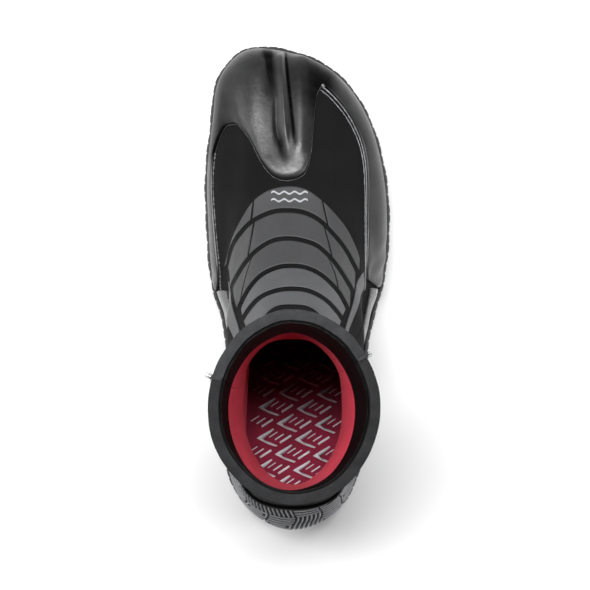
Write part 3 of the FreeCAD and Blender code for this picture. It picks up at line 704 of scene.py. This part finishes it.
def rim_u(v):
    """Top of the cuff: cut by hand, so not quite level."""
    return TOP_U - 0.010 * (1 + np.sin(v * 2.1 + 1)) - 0.005 * (1 + np.sin(v * 7.3))


def foam_panel(name, edge_a, edge_b, columns, rows, body, cut=None):
    u, v = span(edge_a, edge_b, columns, rows)
    build = Build()
    build.shell(skin(u, v, foam_outer(u, v)), skin(u, v, foam_inner(u, v)), 1 if cut else 0)
    build.piece(name, ["jersey"] + ([cut] if cut else []), body, bevel=0.45)


# ---------------------------------------------------------------- upper
front_top = vamp_edge()
# Stretches of v round the front of the boot and round its back.
FRONT_V = (INNER_SEAM - COUNT, OUTER_SEAM)
BACK_V = (OUTER_SEAM + SEAM, INNER_SEAM - SEAM)
front_low = shifted(front_top, SEAM)
back_low = level(*BACK_V, lambda v: foot_edge(v) + SEAM)
foam_panel("vamp", level(*FRONT_V, 0.0), front_top, 230, 100, TOE_BEND)
for name, ends, columns in (("outer_quarter", (BACK_V[0], HEEL_SEAM - SEAM / 2), 90),
                            ("inner_quarter", (HEEL_SEAM + SEAM / 2, BACK_V[1]), 80)):
    foam_panel(name, level(*ends, 0.0), level(*ends, foot_edge), columns, 60, "foot")
foam_panel("front_panel", front_low, level(*FRONT_V, rim_u), 170, 90, ANKLE_BEND, cut="cut_front_lit")
foam_panel("back_panel", back_low, level(*BACK_V, rim_u), 150, 90, ANKLE_BEND, cut="cut_back_shaded")


# Linings and the smooth band inside the rim.
def lining(name, edge_a, edge_b, columns, rows, body, thickness=LINING, material="red"):
    u, v = span(edge_a, edge_b, columns, rows)
    base = foam_inner(u, v) - GAP
    build = Build()
    build.shell(skin(u, v, base), skin(u, v, base - thickness))
    build.piece(name, [material], body, bevel=0.15)


lining("vamp_lining", level(*FRONT_V, 0.02), shifted(front_top, -0.01), 150, 70, TOE_BEND)
lining("heel_lining", level(*BACK_V, 0.02), level(*BACK_V, lambda v: foot_edge(v) - 0.01), 110, 50, "foot")
for name, low, ends in (("front_lining", front_low, FRONT_V), ("back_lining", back_low, BACK_V)):
    lining(name, low, level(*ends, SEAL_BOTTOM_U), 120, 60, ANKLE_BEND)
for name, ends in (("front_seal", FRONT_V), ("back_seal", BACK_V)):
    lining(name, level(*ends, SEAL_BOTTOM_U + 0.02), level(*ends, lambda v: rim_u(v) - 0.05), 120, 40,
           "shaft", SEAL, "seal")


# ---------------------------------------------------------------- rubber
def hump(x, width):
    return np.exp(-(x / width) ** 2)


def zigzag(x):
    """1 at whole numbers, falling evenly to 0 halfway between them."""
    return np.abs(np.mod(x, 1) - 0.5) * 2


def cap_lines(p):
    """x, y, and how far along x a point is from the cap's wide groove, its slit and its dent."""
    x, y = p[..., 0], p[..., 1]
    return x, y, x + 17.0 - 0.13 * (131 - y), x + 2.0 + 0.109 * (y - 88), x + 9.1 + 0.22 * (y - 81)


def cap_relief(p):
    """Height of the toe cap's moulded ribs and grooves over its even thickness, in mm."""
    x, y, from_wide, from_slit, from_dent = cap_lines(p)
    toe = smooth((137 - y) / 5)
    ridge = 1.7 * hump(x + 10.2 - 0.075 * (131 - y), 2.3) * smooth((y - 74) / 20) * toe
    wide = -2.0 * hump(from_wide, 3.0) * smooth((y - 106) / 18) * toe
    slit = -1.5 * hump(from_slit, 0.75) * smooth((y - 80) / 12) * toe
    dent = -0.9 * hump(from_dent, 1.9) * hump(y - 82, 9)
    crease = -0.6 * hump(x + 12.3, 1.5) * hump(y - 98, 14)
    cheek = 1.4 * hump(x + 27, 10) * hump(y - 108, 24)
    swell = 1.5 * hump(x - 1.6, 4.6) * smooth((y - 68) / 16) * toe
    tongue = 0.8 * hump(x + 4, 9) * hump(y - 68, 6.5)
    fold = 0.35 * hump(np.hypot(x + 6, y - 75) - 10.5, 1.3) * smooth((76 - y) / 6)
    return ridge + wide + slit + dent + crease + cheek + swell + tongue + fold


def cap_painted_light(p):
    """How light the cap is painted: painted shade in the grooves and on the outer front, painted highlights
    on the ribs, cheek and tongue.
    """
    x, y, from_wide, from_slit, from_dent = cap_lines(p)
    tone = 0.34 - 0.5 * hump(from_wide, 3.2) * smooth((y - 106) / 16)
    tone -= 0.5 * hump(from_slit, 0.9) * smooth((y - 78) / 12)
    tone -= 0.35 * hump(from_dent, 2.0) * hump(y - 82, 9)
    tone -= 0.34 * smooth((x - 2 + 0.1 * (y - 90)) / 9) * smooth((y - 82) / 20)
    tone -= 0.22 * smooth((-33 - x) / 10)
    tone += 0.30 * hump(x + 9.8 - 0.075 * (131 - y), 2.6) * smooth((y - 80) / 20)
    tone += 0.30 * hump(x + 26, 11) * hump(y - 110, 22) + 0.30 * hump(x + 3, 10) * hump(y - 68, 7)
    tone += 0.22 * hump(x - 1.5, 4.0) * smooth((128 - y) / 30)
    return tone


def thin_edge(t, share, lowest):
    """1 away from the last row, falling to lowest at it."""
    return lowest + (1 - lowest) * np.sqrt(1 - np.clip((t - 1 + share) / share, 0, 1) ** 2)


# The toe cap and the two rands are one moulding: three stretches of its top edge, from the
# rear of the inner rand round the toe to the rear of the outer one, each ruled down to the sole.
inner_corner, outer_corner = on_skin([(-48.5, 78.7), (14.2, 117.2)])
inner_top = np.concatenate([[inner_corner], on_skin(INNER_RAND_EDGE[1:])])
outer_top = np.concatenate([[outer_corner], on_skin(OUTER_RAND_EDGE[1:])])
cap_top = np.concatenate([[inner_corner], on_skin(CAP_EDGE[1:-1]), [outer_corner]])
rows = 110
t = np.linspace(0, 1, rows)[None, :]
stretches, rand_shares, end_shares = [], [], []
for top, columns, end in ((inner_top[::-1], 130, -1), (cap_top, 250, 0), (outer_top, 210, 1)):
    s = np.linspace(0, 1, columns)
    line = along(top, s)
    rear = {-1: s, 0: np.ones(columns), 1: 1 - s}[end]
    # The rands end in a rounded tongue.
    drop = np.sqrt(1 - (1 - np.clip(rear / 0.10, 0, 1)) ** 2)
    reach = line[:, 0] * (0.35 + 0.65 * drop)
    foot = top[0, 1] + (top[-1, 1] - top[0, 1]) * s
    first = 0 if end == -1 else 1
    ruled_v = foot[:, None] + (line[:, 1] - foot)[:, None] * t
    stretches.append(np.stack([reach[:, None] * t, ruled_v], -1)[first:])
    rand_shares.append((smooth(abs(s - (end == -1)) / 0.12) if end else np.zeros(columns))[first:])
    end_shares.append(rear[first:])
u, v = np.moveaxis(np.concatenate(stretches), -1, 0)
on_rand = np.concatenate(rand_shares)[:, None]
rear = np.concatenate(end_shares)[:, None]
base = skin(u, v, 0)
height = GAP + RUBBER * thin_edge(t, 0.035, 0.4) * (0.35 + 0.65 * smooth(rear / 0.012))
height = height + cap_relief(base) * (1 - on_rand) * smooth((1 - t) / 0.10)
# Slack near the rear of the rands, where the sheet rubber was pulled round and pressed down.
slack = smooth((0.30 - rear) / 0.25) * on_rand * smooth(rear / 0.02) * smooth((1 - t) / 0.15)
across, up = base[..., 1], base[..., 2]
height = height + slack * (0.55 * np.sin(across / 2.3 + up / 6) * np.sin(up / 7 + 1) + 0.3)
# Painted light on the rands: the inner rand, facing the light, is lighter than the outer one, and the slack
# folds carry painted highlights.
rand_painted_light = np.where(v < 0, 0.55, 0.38) + 0.25 * slack
tone = cap_painted_light(base) * (1 - on_rand) + rand_painted_light * on_rand
build = Build()
build.shell(skin(u, v, np.maximum(height, 0.45)), skin(u, v, GAP), tone=np.clip(tone, 0, 1))
build.piece("toe_cap_and_rands", ["cap"], TOE_BEND,
            ("toe_cap", "inner_rand", "outer_rand"), 0.1)


def edge_bead(build, line, offset, radius, dabs, seed, material=0, flat=0.8):
    """Thin bead of liquid rubber beside an edge, thicker where it was dabbed on."""
    dice = np.random.default_rng(seed)
    points = along(line, np.linspace(0, 1, 420))
    noise = np.convolve(dice.normal(0, 1, 424), np.ones(5) / 5, "valid")
    thick = radius * (1 + dabs * np.clip(noise * 1.6, -0.8, 1.6))
    u, v = points[:, 0] + offset + 0.008 * noise, points[:, 1]
    build.tube(skin(u, v, 0.25), thick, 7, material, flat, skin_normal(u, v))


# Two parallel beads along the outer rand's edge, and a thin uneven one along the rest.
build = Build()
edge_bead(build, outer_top, 0.03, 0.44, 0.25, 3)
edge_bead(build, outer_top, 0.18, 0.34, 0.3, 4)
burr = skin(*np.moveaxis(on_skin([(13.0, 119.2), (13.8, 118.0), (14.6, 117.0), (15.6, 115.9)]), -1, 0), 0.9)
build.tube(burr, np.array([0.25, 0.9, 1.1, 0.4]), 8, 0, 0.7)
edge_bead(build, cap_top, 0.05, 0.15, 0.35, 5, 1)
edge_bead(build, inner_top, 0.06, 0.26, 0.9, 6, 0)
build.piece("outer_bead", ["bead", "glue"], TOE_BEND)


def labyrinth(a, b):
    """Raised maze of short bars, 0 in its grooves and 1 on top; a and b in mm."""
    a = a + 1.2 * np.sin(b / 8.0) + 0.8 * np.sin(a / 21.0 + 1)
    b = b + 1.5 * np.sin(a / 15.0) + 0.7 * np.sin(a / 6.1 + b / 9.0)
    width, tall, column, row = 17.4, 18.0, 2.9, 6.0
    i, j = np.floor(a / width), np.floor(b / tall)
    x, y = a - i * width, b - j * tall
    side, end = np.minimum(x, width - x), np.minimum(y, tall - y)
    kind = np.mod(i * 7 + j * 5 + np.mod(i * j, 3), 4)
    rings = zigzag(np.minimum(side / column, end / row))
    stripes = np.where(kind == 1, zigzag(x / column), np.where(kind == 3, rings, zigzag(y / row)))
    return smooth((0.40 - stripes) / 0.18) * smooth((np.minimum(side, end) - 0.3) / 0.5)


def heel_cap_edge(v):
    half = (HEEL_CAP[1] - HEEL_CAP[0]) / 2
    away = abs(v - HEEL_CAP[0] - half) / half
    return u_at_height(v, HEEL_CAP_TOP - HEEL_CAP_DROP * away ** 2)


columns, rows = 440, 240
u, v = span(level(*HEEL_CAP, 0.0), level(*HEEL_CAP, heel_cap_edge), columns, rows)
base = skin(u, v, 0)
around = run_of(base[:, 60])[:, None]
around = np.broadcast_to(around - around[columns // 2], u.shape)
climb = np.cumsum(np.linalg.norm(np.diff(base, axis=1, prepend=base[:, :1]), axis=-1), axis=1)
t = np.linspace(0, 1, rows)[None, :]
s = np.linspace(0, 1, columns)[:, None]
field = smooth((climb - 3.5) / 1.0) * smooth((1 - t) / 0.03) * smooth(s / 0.02) * smooth((1 - s) / 0.02)
flat_run = np.linalg.norm(base[..., :2] - base[:, -1:, :2], axis=-1)
maze = labyrinth(around, 0.5 * climb - 2.2 * flat_run) * field
height = GAP + RUBBER * thin_edge(t, 0.03, 0.6) - 0.5 * field + 0.9 * maze
build = Build()
build.shell(skin(u, v, height), skin(u, v, GAP), tone=maze)
build.piece("heel_cap", ["heel"], "foot", ("heel_cap", "heel_grip_bars"))


# Low strips of rubber between the rands and the heel cap.
for name, (low, high), height in (
        ("outer_foxing", (outer_top[-1, 1] + 0.02, HEEL_CAP[0] - 0.02), 37.0),
        ("inner_foxing", (HEEL_CAP[1] - COUNT + 0.02, inner_top[-1, 1] - 0.02), 41.0)):
    top = level(low, high, lambda v: u_at_height(v, height - 3.0 * (abs(v) - 6.0)))
    u, v = span(level(low, high, 0.0), top, 110, 50)
    t = np.linspace(0, 1, 50)[None, :]
    ripple = 0.25 * np.sin(v * 9.0 + u * 1.3) * np.sin(t * math.pi)
    build = Build()
    crown = GAP + FOXING * thin_edge(t, 0.05, 0.35) + ripple * smooth((1 - t) / 0.1)
    build.shell(skin(u, v, crown), skin(u, v, GAP))
    build.piece(name, ["foxing"], "foot", bevel=0.1)


# ---------------------------------------------------------------- print
def crossing(arc, line):
    """Share of an arc at which it crosses a line that runs from the toes back."""
    ys, xs = np.array(line[::-1]).T

    def left(share):
        x, y = along(arc, share)[0]
        return x < np.interp(y, ys, xs)
    return halve(left, 1.0)


def beside(arc, t, distance):
    a, b, p = (along(arc, np.clip(t + step, 0, 1)) for step in (-0.004, 0.004, 0))
    way = b - a
    way /= np.linalg.norm(way, axis=1, keepdims=True)
    return p + np.stack([way[:, 1], -way[:, 0]], axis=-1) * distance


PAD_ROUNDING = 0.4      # share of a pad's thickness lost at its border
WING_THICKNESS = 0.7    # fills the wider gap that the CAD leaves under the side bands


def pad(build, edge_a, edge_b, columns, rows, low=GAP, high=GAP + PRINT):
    """Printed pad with a softly rounded border."""
    u, v = span(edge_a, edge_b, columns, rows)
    border = np.ones(u.shape)
    border[1:-1, 1:-1] = 0
    build.shell(skin(u, v, high - (high - low) * PAD_ROUNDING * border), skin(u, v, low))


def arc_edge(arc, low, high, side, count=40):
    return traced(beside(arc, np.linspace(low, high, count), side * ARC_LINE / 2))


for part, third in enumerate(("inner", "middle", "outer")):
    build = Build()
    for front, rear in zip(ARCS[:3], ARCS[1:4]):
        edges = []
        for arc, side in ((front, 1), (rear, -1)):
            cuts = [0.0, crossing(arc, LINE_INNER), crossing(arc, LINE_OUTER), 1.0]
            half = LENGTH_LINE / 2 / run_of(arc)[-1]
            low = cuts[part] + (half if part else 0.0)
            high = cuts[part + 1] - (half if part < 2 else 0.0)
            edges.append(arc_edge(arc, low, high, side))
        pad(build, *edges, 60, 24)
    build.piece("instep_pads_" + third, ["print"], TOE_BEND)


def shin_line(v):
    """u of the last dark line, over the front of the shin."""
    return 7.7 + 0.04 * v * v


shin_front = level(*SHIN_ENDS, lambda v: shin_line(v) - HALF_LINE)
build = Build()
pad(build, arc_edge(ARCS[3], 0, 1, 1), arc_edge(ARCS[4], 0.03, 0.97, -1), 100, 24)
pad(build, arc_edge(ARCS[4], 0, 1, 1), shin_front, 100, 24)
build.piece("ankle_pads", ["print_lit"], ANKLE_BEND)

build = Build()
pad(build, level(*SHIN_ENDS, lambda v: shin_line(v) + HALF_LINE), level(*SHIN_ENDS, TOP_U - 0.3), 90, 60)
build.piece("shin_pad", ["print_lit"], ANKLE_BEND)

for name, (front, rear) in WINGS.items():
    build = Build()
    pad(build, lambda t, e=front: along(e, t), lambda t, e=rear: along(e, t), 90, 24,
        GAP, GAP + WING_THICKNESS)
    build.piece(name, ["print_lit"], ANKLE_BEND)

# Two small printed wave lines stand in for the maker's lettering.
build = Build()
for y in (53.0, 48.6):
    xs = np.linspace(-15, 6, 60)
    crest = y + 0.7 * np.sin((xs + 15) * TAU / 6.0) + 0.2
    pad(build, traced(np.stack([xs, crest + 0.55], -1)), traced(np.stack([xs, crest - 0.55], -1)), 120, 5,
        GAP + PRINT + 0.02, GAP + PRINT + 0.2)
build.piece("wave_mark", ["mark"], TOE_BEND)


# ---------------------------------------------------------------- sole
def edge_ring(count, inset):
    """Closed plan curve inside the sole's edge, and the outward way at each point."""
    w = np.arange(count) / count * COUNT
    j = np.floor(w).astype(int)
    k = weights(w - j)
    p = sum(k[b][:, None] * EDGE_NET[(j - 1 + b) % COUNT] for b in range(4))
    way = np.roll(p, -1, 0) - np.roll(p, 1, 0)
    way /= np.linalg.norm(way, axis=1, keepdims=True)
    out = np.stack([-way[:, 1], way[:, 0]], -1)
    inset = np.broadcast_to(inset, (count,))[:, None]
    return p - out * inset, out


def crossings(ring, y):
    """x at each place where a closed plan curve crosses the given y."""
    nxt = np.roll(ring, -1, 0)
    hit = (ring[:, 1] > y) != (nxt[:, 1] > y)
    a, b = ring[hit], nxt[hit]
    return a[:, 0] + (y - a[:, 1]) * (b[:, 0] - a[:, 0]) / (b[:, 1] - a[:, 1])


def width_at(ring, y):
    x = crossings(ring, y)
    return x.min(), x.max()


build = Build()
# Edge band: its section, as distance out from the sole's edge and height, swept round.
section = [(-5.0, SOLE_TOP - 0.1), (-2.1, SOLE_TOP - 0.1), (-2.1, 9.8), (-1.9, 10.3), (-1.6, LIP_TOP)]
section += [(-1.1 + 1.2 * k / 16, 10.3 - 8.2 * k / 16) for k in range(17)]
section += [(0.0, 1.0), (-0.4, 0.3), (-1.0, 0.05), (-4.6, 0.0), (-5.0, 0.5)]
EDGE_WAVELENGTH, EDGE_RIDGE_PITCH = 12.0, 3.1
count = 1400
rail, out = edge_ring(count, 0.0)
run = run_of(rail)
turn = run * TAU / run[-1]
waves = round(run[-1] / EDGE_WAVELENGTH)
ring_points, ring_tones = [], []
for distance, z in section:
    face = smooth((z - 1.2) / 1.5) * smooth((10.6 - z) / 0.8) * float(distance > -1.7)
    phase = z / EDGE_RIDGE_PITCH + 0.42 * np.sin(turn * waves) + 0.12 * np.sin(turn * waves * 2.6)
    ridge = smooth((0.62 - zigzag(phase)) / 0.35 + 0.5)
    nick = 0.35 * smooth((np.cos(turn * waves * 2) - 0.75) / 0.2)
    bulge = face * (0.75 * ridge - nick) + 0.22 * np.sin(turn * 31) * smooth(z / 2)
    edge = rail + out * (distance + bulge)[:, None]
    ring_points.append(np.insert(edge, 2, z, axis=1))
    ring_tones.append(face * ridge)
build.add(np.stack(ring_points, 1), ring_quads(count, len(section), closed=True), 0,
          np.stack(ring_tones, 1))

# Plate between the bands.
inner, _ = edge_ring(600, 4.0)
plate = np.array([[(x, y, 0) for x in np.linspace(*width_at(inner, y), 25)]
                  for y in np.linspace(inner[:, 1].min() + 0.3, inner[:, 1].max() - 0.3, 110)])
build.shell(plate + (0, 0, SOLE_TOP), plate + (0, 0, LUG_HEIGHT))

# Wavy ribs of the tread.
field_edge, _ = edge_ring(600, 3.6)
y = SOLE_EDGE[COUNT // 2][1] + 6
while y < SOLE_EDGE[0][1] - 3:
    mid = y + LUG_WIDTH / 2 + LUG_WAVE / 2
    if field_edge[:, 1].min() + 2 < mid < field_edge[:, 1].max() - 2:
        low, high = width_at(field_edge, mid)
        xs = np.linspace(low, high, 81)
        wave = LUG_WAVE * (1 - zigzag((xs + 64) / LUG_WAVELENGTH))
        rib = np.zeros((81, 5, 3))
        rib[..., 0] = xs[:, None]
        rib[..., 1] = (y + wave)[:, None] + np.linspace(0, LUG_WIDTH, 5)[None, :]
        crown, root = rib.copy(), rib.copy()
        crown[..., 2] = LUG_ROOT
        root[:, 2, 2] = 0.35
        build.shell(crown, root)
    y += LUG_PITCH
build.piece("outsole", ["sole"], TOE_BEND, bevel=0.3)


SPINE = np.array([(-2.0, -100.0), (-1.0, 60.0), (-10.0, 100.0)])


def slab(ring, low, top_of, levels=14):
    """Closed slab over a closed plan curve, with rings shrinking to the spine."""
    centre = np.stack([np.interp(ring[:, 1], SPINE[:, 1], SPINE[:, 0]),
                       np.clip(ring[:, 1], SPINE[0, 1], SPINE[-1, 1])], -1)
    shares = np.linspace(0.0005, 1, levels)
    rings = [(r, top_of(r)) for r in shares] + [(r, low) for r in shares[::-1]]
    points = [np.insert(centre + (ring - centre) * r, 2, z, axis=1) for r, z in rings]
    return np.concatenate(points), ring_quads(len(rings), len(ring))


ring, _ = edge_ring(300, 2.6)
build = Build()
build.add(*slab(ring, SOLE_TOP + GAP, lambda r: BOARD_TOP))
build.piece("lasting_board", ["board"], TOE_BEND, bevel=0.2)

w = np.arange(300) / 300 * COUNT
ring = skin(np.zeros(300), w, -(NEOPRENE + LINING + 0.9), swayed=False)[:, :2]
build = Build()
build.add(*slab(ring, BOARD_TOP + GAP, lambda r: FOOTBED_TOP - r ** 14, 24))
build.piece("footbed", ["footbed"], TOE_BEND, bevel=0.3)


PRISM_BEVEL = 0.12


def prism(build, outline, low, high):
    """Upright prism over a plan polygon, with its top edge drawn in a little."""
    n = len(outline)
    centre = outline.mean(0)
    inward = (centre - outline) / np.linalg.norm(centre - outline, axis=1, keepdims=True)
    top = outline + inward * PRISM_BEVEL
    rows = [np.insert(p, 2, z, axis=1) for p, z in (
        (outline, low), (outline, high - PRISM_BEVEL), (top, high))]
    ends = [tuple(range(n))[::-1], tuple(2 * n + k for k in range(n))]
    build.add(np.concatenate(rows), ring_quads(3, n) + ends)


def inside(points, x, y, margin):
    """Whether a plan point lies in a closed curve and further than margin from its points."""
    if (np.hypot(points[:, 0] - x, points[:, 1] - y) < margin).any():
        return False
    return (x < crossings(points, y)).sum() % 2 == 1


# Motif of the grip print, from the tip of its angle; the bars are given by centre, length and width.
MOTIF_ANGLE = [
    (0, 0), (6.6, -3.4), (11.6, -5.1), (12.8, -4.4), (4.0, -0.6), (10.6, 5.3), (10.0, 6.0), (1.7, 1.2),
]
MOTIF_BARS = [(10.1, 2.2, 5.9, 0.6), (13.7, 0.8, 6.3, 0.8), (17.5, -0.5, 8.1, 1.3)]
MOTIF_TILT = math.radians(33.0)
MOTIF_START = np.array((-13.5, -101.5))
MOTIF_ACROSS, MOTIF_STAGGER, MOTIF_UP = np.array([(23.0, -0.9), (12.0, 8.8), (1.0, 18.5)])
WALL_WAY = (WALL_END - WALL_START) / np.linalg.norm(WALL_END - WALL_START)
WALL_ACROSS = np.array((WALL_WAY[1], -WALL_WAY[0]))
WALL_CLEARANCE = 2.0


def clear_of_wall(points):
    """Whether a printed shape keeps off the wall between the toes."""
    if points[:, 1].max() < WALL_START[1] - 1:
        return True
    sides = (points - WALL_START) @ WALL_ACROSS
    return sides.min() > WALL_CLEARANCE or sides.max() < -WALL_CLEARANCE


shapes = [np.array(MOTIF_ANGLE)]
cos_tilt, sin_tilt = math.cos(MOTIF_TILT), math.sin(MOTIF_TILT)
turn = np.array([(cos_tilt, sin_tilt), (-sin_tilt, cos_tilt)])
for x, y, length, width in MOTIF_BARS:
    corners = np.array([(-1, -1), (1, -1), (1, 1), (-1, 1)]) * (length / 2, width / 2)
    shapes.append(corners @ turn + (x, y))
build = Build()
for row in range(-4, 26):
    for column in range(-3, 4):
        tip = MOTIF_START + MOTIF_UP * (row // 2) + MOTIF_STAGGER * (row % 2) + MOTIF_ACROSS * column
        for shape in shapes:
            if all(inside(ring, x, y, 2.2) for x, y in tip + shape) and clear_of_wall(tip + shape):
                prism(build, tip + shape, FOOTBED_TOP + 0.02, FOOTBED_TOP + 0.36)
build.piece("footbed_print", ["grip"], TOE_BEND)

# Wall between the big toe and the others, rounded along its top.
spots = [WALL_START + (WALL_END - WALL_START) * s for s in np.linspace(0, 1, 30)]
located = on_skin(spots)
tops = skin(located[:, 0], located[:, 1], -(NEOPRENE + LINING + 2.8), swayed=False)[:, 2]
wall = []
for spot, top in zip(spots, tops):
    floor = FOOTBED_TOP + 0.3
    column = [(1.1, floor), (1.4, floor + 1), (1.4, top - 1.2), (0.9, top - 0.3), (0.0, top)]
    column += [(-x, z) for x, z in column[:-1][::-1]]
    wall.append([(*(spot + WALL_ACROSS * x), z) for x, z in column])
wall = np.array(wall)
n, m = wall.shape[:2]
faces = [tuple(q) for q in grid_quads(n, m)]
faces += [tuple(k * m for k in range(n)) + tuple(k * m + m - 1 for k in range(n))[::-1]]
faces += [tuple(range(m))[::-1], tuple((n - 1) * m + k for k in range(m))]
build = Build()
build.add(wall, faces)
build.piece("toe_divider", ["red"], "forefoot", bevel=0.2)


# ---------------------------------------------------------------- stitching
build = Build()
dice = np.random.default_rng(11)
for v_seam in (OUTER_SEAM, INNER_SEAM):
    rim = float(rim_u(v_seam))
    for dv in np.linspace(-0.05, 0.05, 5):
        line = skin(np.full(9, rim), np.full(9, v_seam + dv), np.linspace(0.9, -4.6, 9))
        line[:, 2] += 0.3 + 0.55 * (1 - np.linspace(-1, 1, 9) ** 2)
        build.tube(line, 0.26, 5, 0)
    blob = skin(rim, v_seam + 0.16 * np.linspace(-0.5, 0.5, 9), -2.2) + (0, 0, 0.15)
    build.tube(blob, 1.1 * np.sin(np.linspace(0.25, math.pi - 0.25, 9)), 8, 1, 0.45)
    for k in range(12):
        root = skin(rim - 0.05 * dice.random(), v_seam + dice.normal(0, 0.09), 0.4)
        away = skin_normal(rim - 0.1, v_seam) * dice.uniform(0.6, 1.0) + dice.normal(0, 0.45, 3)
        away /= np.linalg.norm(away)
        bend = dice.normal(0, 0.5, 3)
        s = np.linspace(0, 1, 6)[:, None]
        build.tube(root + away * s * dice.uniform(1.5, 4.0) + bend * s ** 2 * 1.5, 0.11, 4, 0)
build.piece("seam_tacks", ["thread", "glue"], "shaft")


# ---------------------------------------------------------------- floor, light and camera
FLOOR = 6.0
CAMERA_PLACE = (-0.0013, -0.0054, 1.0)
SENSOR = 36.0
FOCAL_WIDTHS = 2.776271     # focal length, in widths of the picture

floor_mesh = bpy.data.meshes.new("floor")
corners = [(x * FLOOR, y * FLOOR, 0) for x, y in ((-1, -1), (1, -1), (1, 1), (-1, 1))]
floor_mesh.from_pydata(corners, [], [(0, 1, 2, 3)])
pale = Nodes("pale_floor")
pale.set(Base_Color=(0.92, 0.92, 0.92, 1), Roughness=0.9)
floor_mesh.materials.append(pale.material)
placed("floor", floor_mesh)

world = bpy.data.worlds.new("studio")
bpy.context.scene.world = world
world.use_nodes = True
# Bright near the horizon, as the white sweep of a studio is, and darker overhead.
world_nodes, world_links = world.node_tree.nodes, world.node_tree.links
background = world_nodes["Background"]
background.inputs["Color"].default_value = (1, 1, 1, 1)
direction, split, fade = (world_nodes.new("ShaderNode" + kind) for kind in (
    "TexCoord", "SeparateXYZ", "MapRange"))
for key, value in (("From Min", 0.05), ("From Max", 0.6), ("To Min", 0.95), ("To Max", 0.05)):
    fade.inputs[key].default_value = value
world_links.new(direction.outputs["Generated"], split.inputs[0])
world_links.new(split.outputs["Z"], fade.inputs["Value"])
world_links.new(fade.outputs["Result"], background.inputs["Strength"])


def softbox(name, place, aim, size, power):
    data = bpy.data.lights.new(name, "AREA")
    data.shape = "RECTANGLE"
    data.size, data.size_y = size
    data.energy = power
    lamp = placed(name, data)
    lamp.location = place
    lamp.rotation_euler = (Vector(aim) - Vector(place)).to_track_quat("-Z", "Y").to_euler()


softbox("key_left", (-1.15, 0.3, 1.15), (0, 0, 0.04), (0.7, 1.5), 15)
softbox("top", (-0.05, 0.5, 1.75), (0, -0.04, 0.0), (0.9, 0.3), 31)
softbox("fill_right", (1.3, -0.1, 0.8), (0, 0, 0.04), (0.5, 1.5), 8.5)

bpy.context.scene.view_settings.view_transform = "Standard"

camera_data = bpy.data.cameras.new("camera")
camera_data.sensor_width = SENSOR
camera_data.lens = SENSOR * FOCAL_WIDTHS
camera = placed("camera", camera_data)
camera.location = CAMERA_PLACE
bpy.context.scene.camera = camera
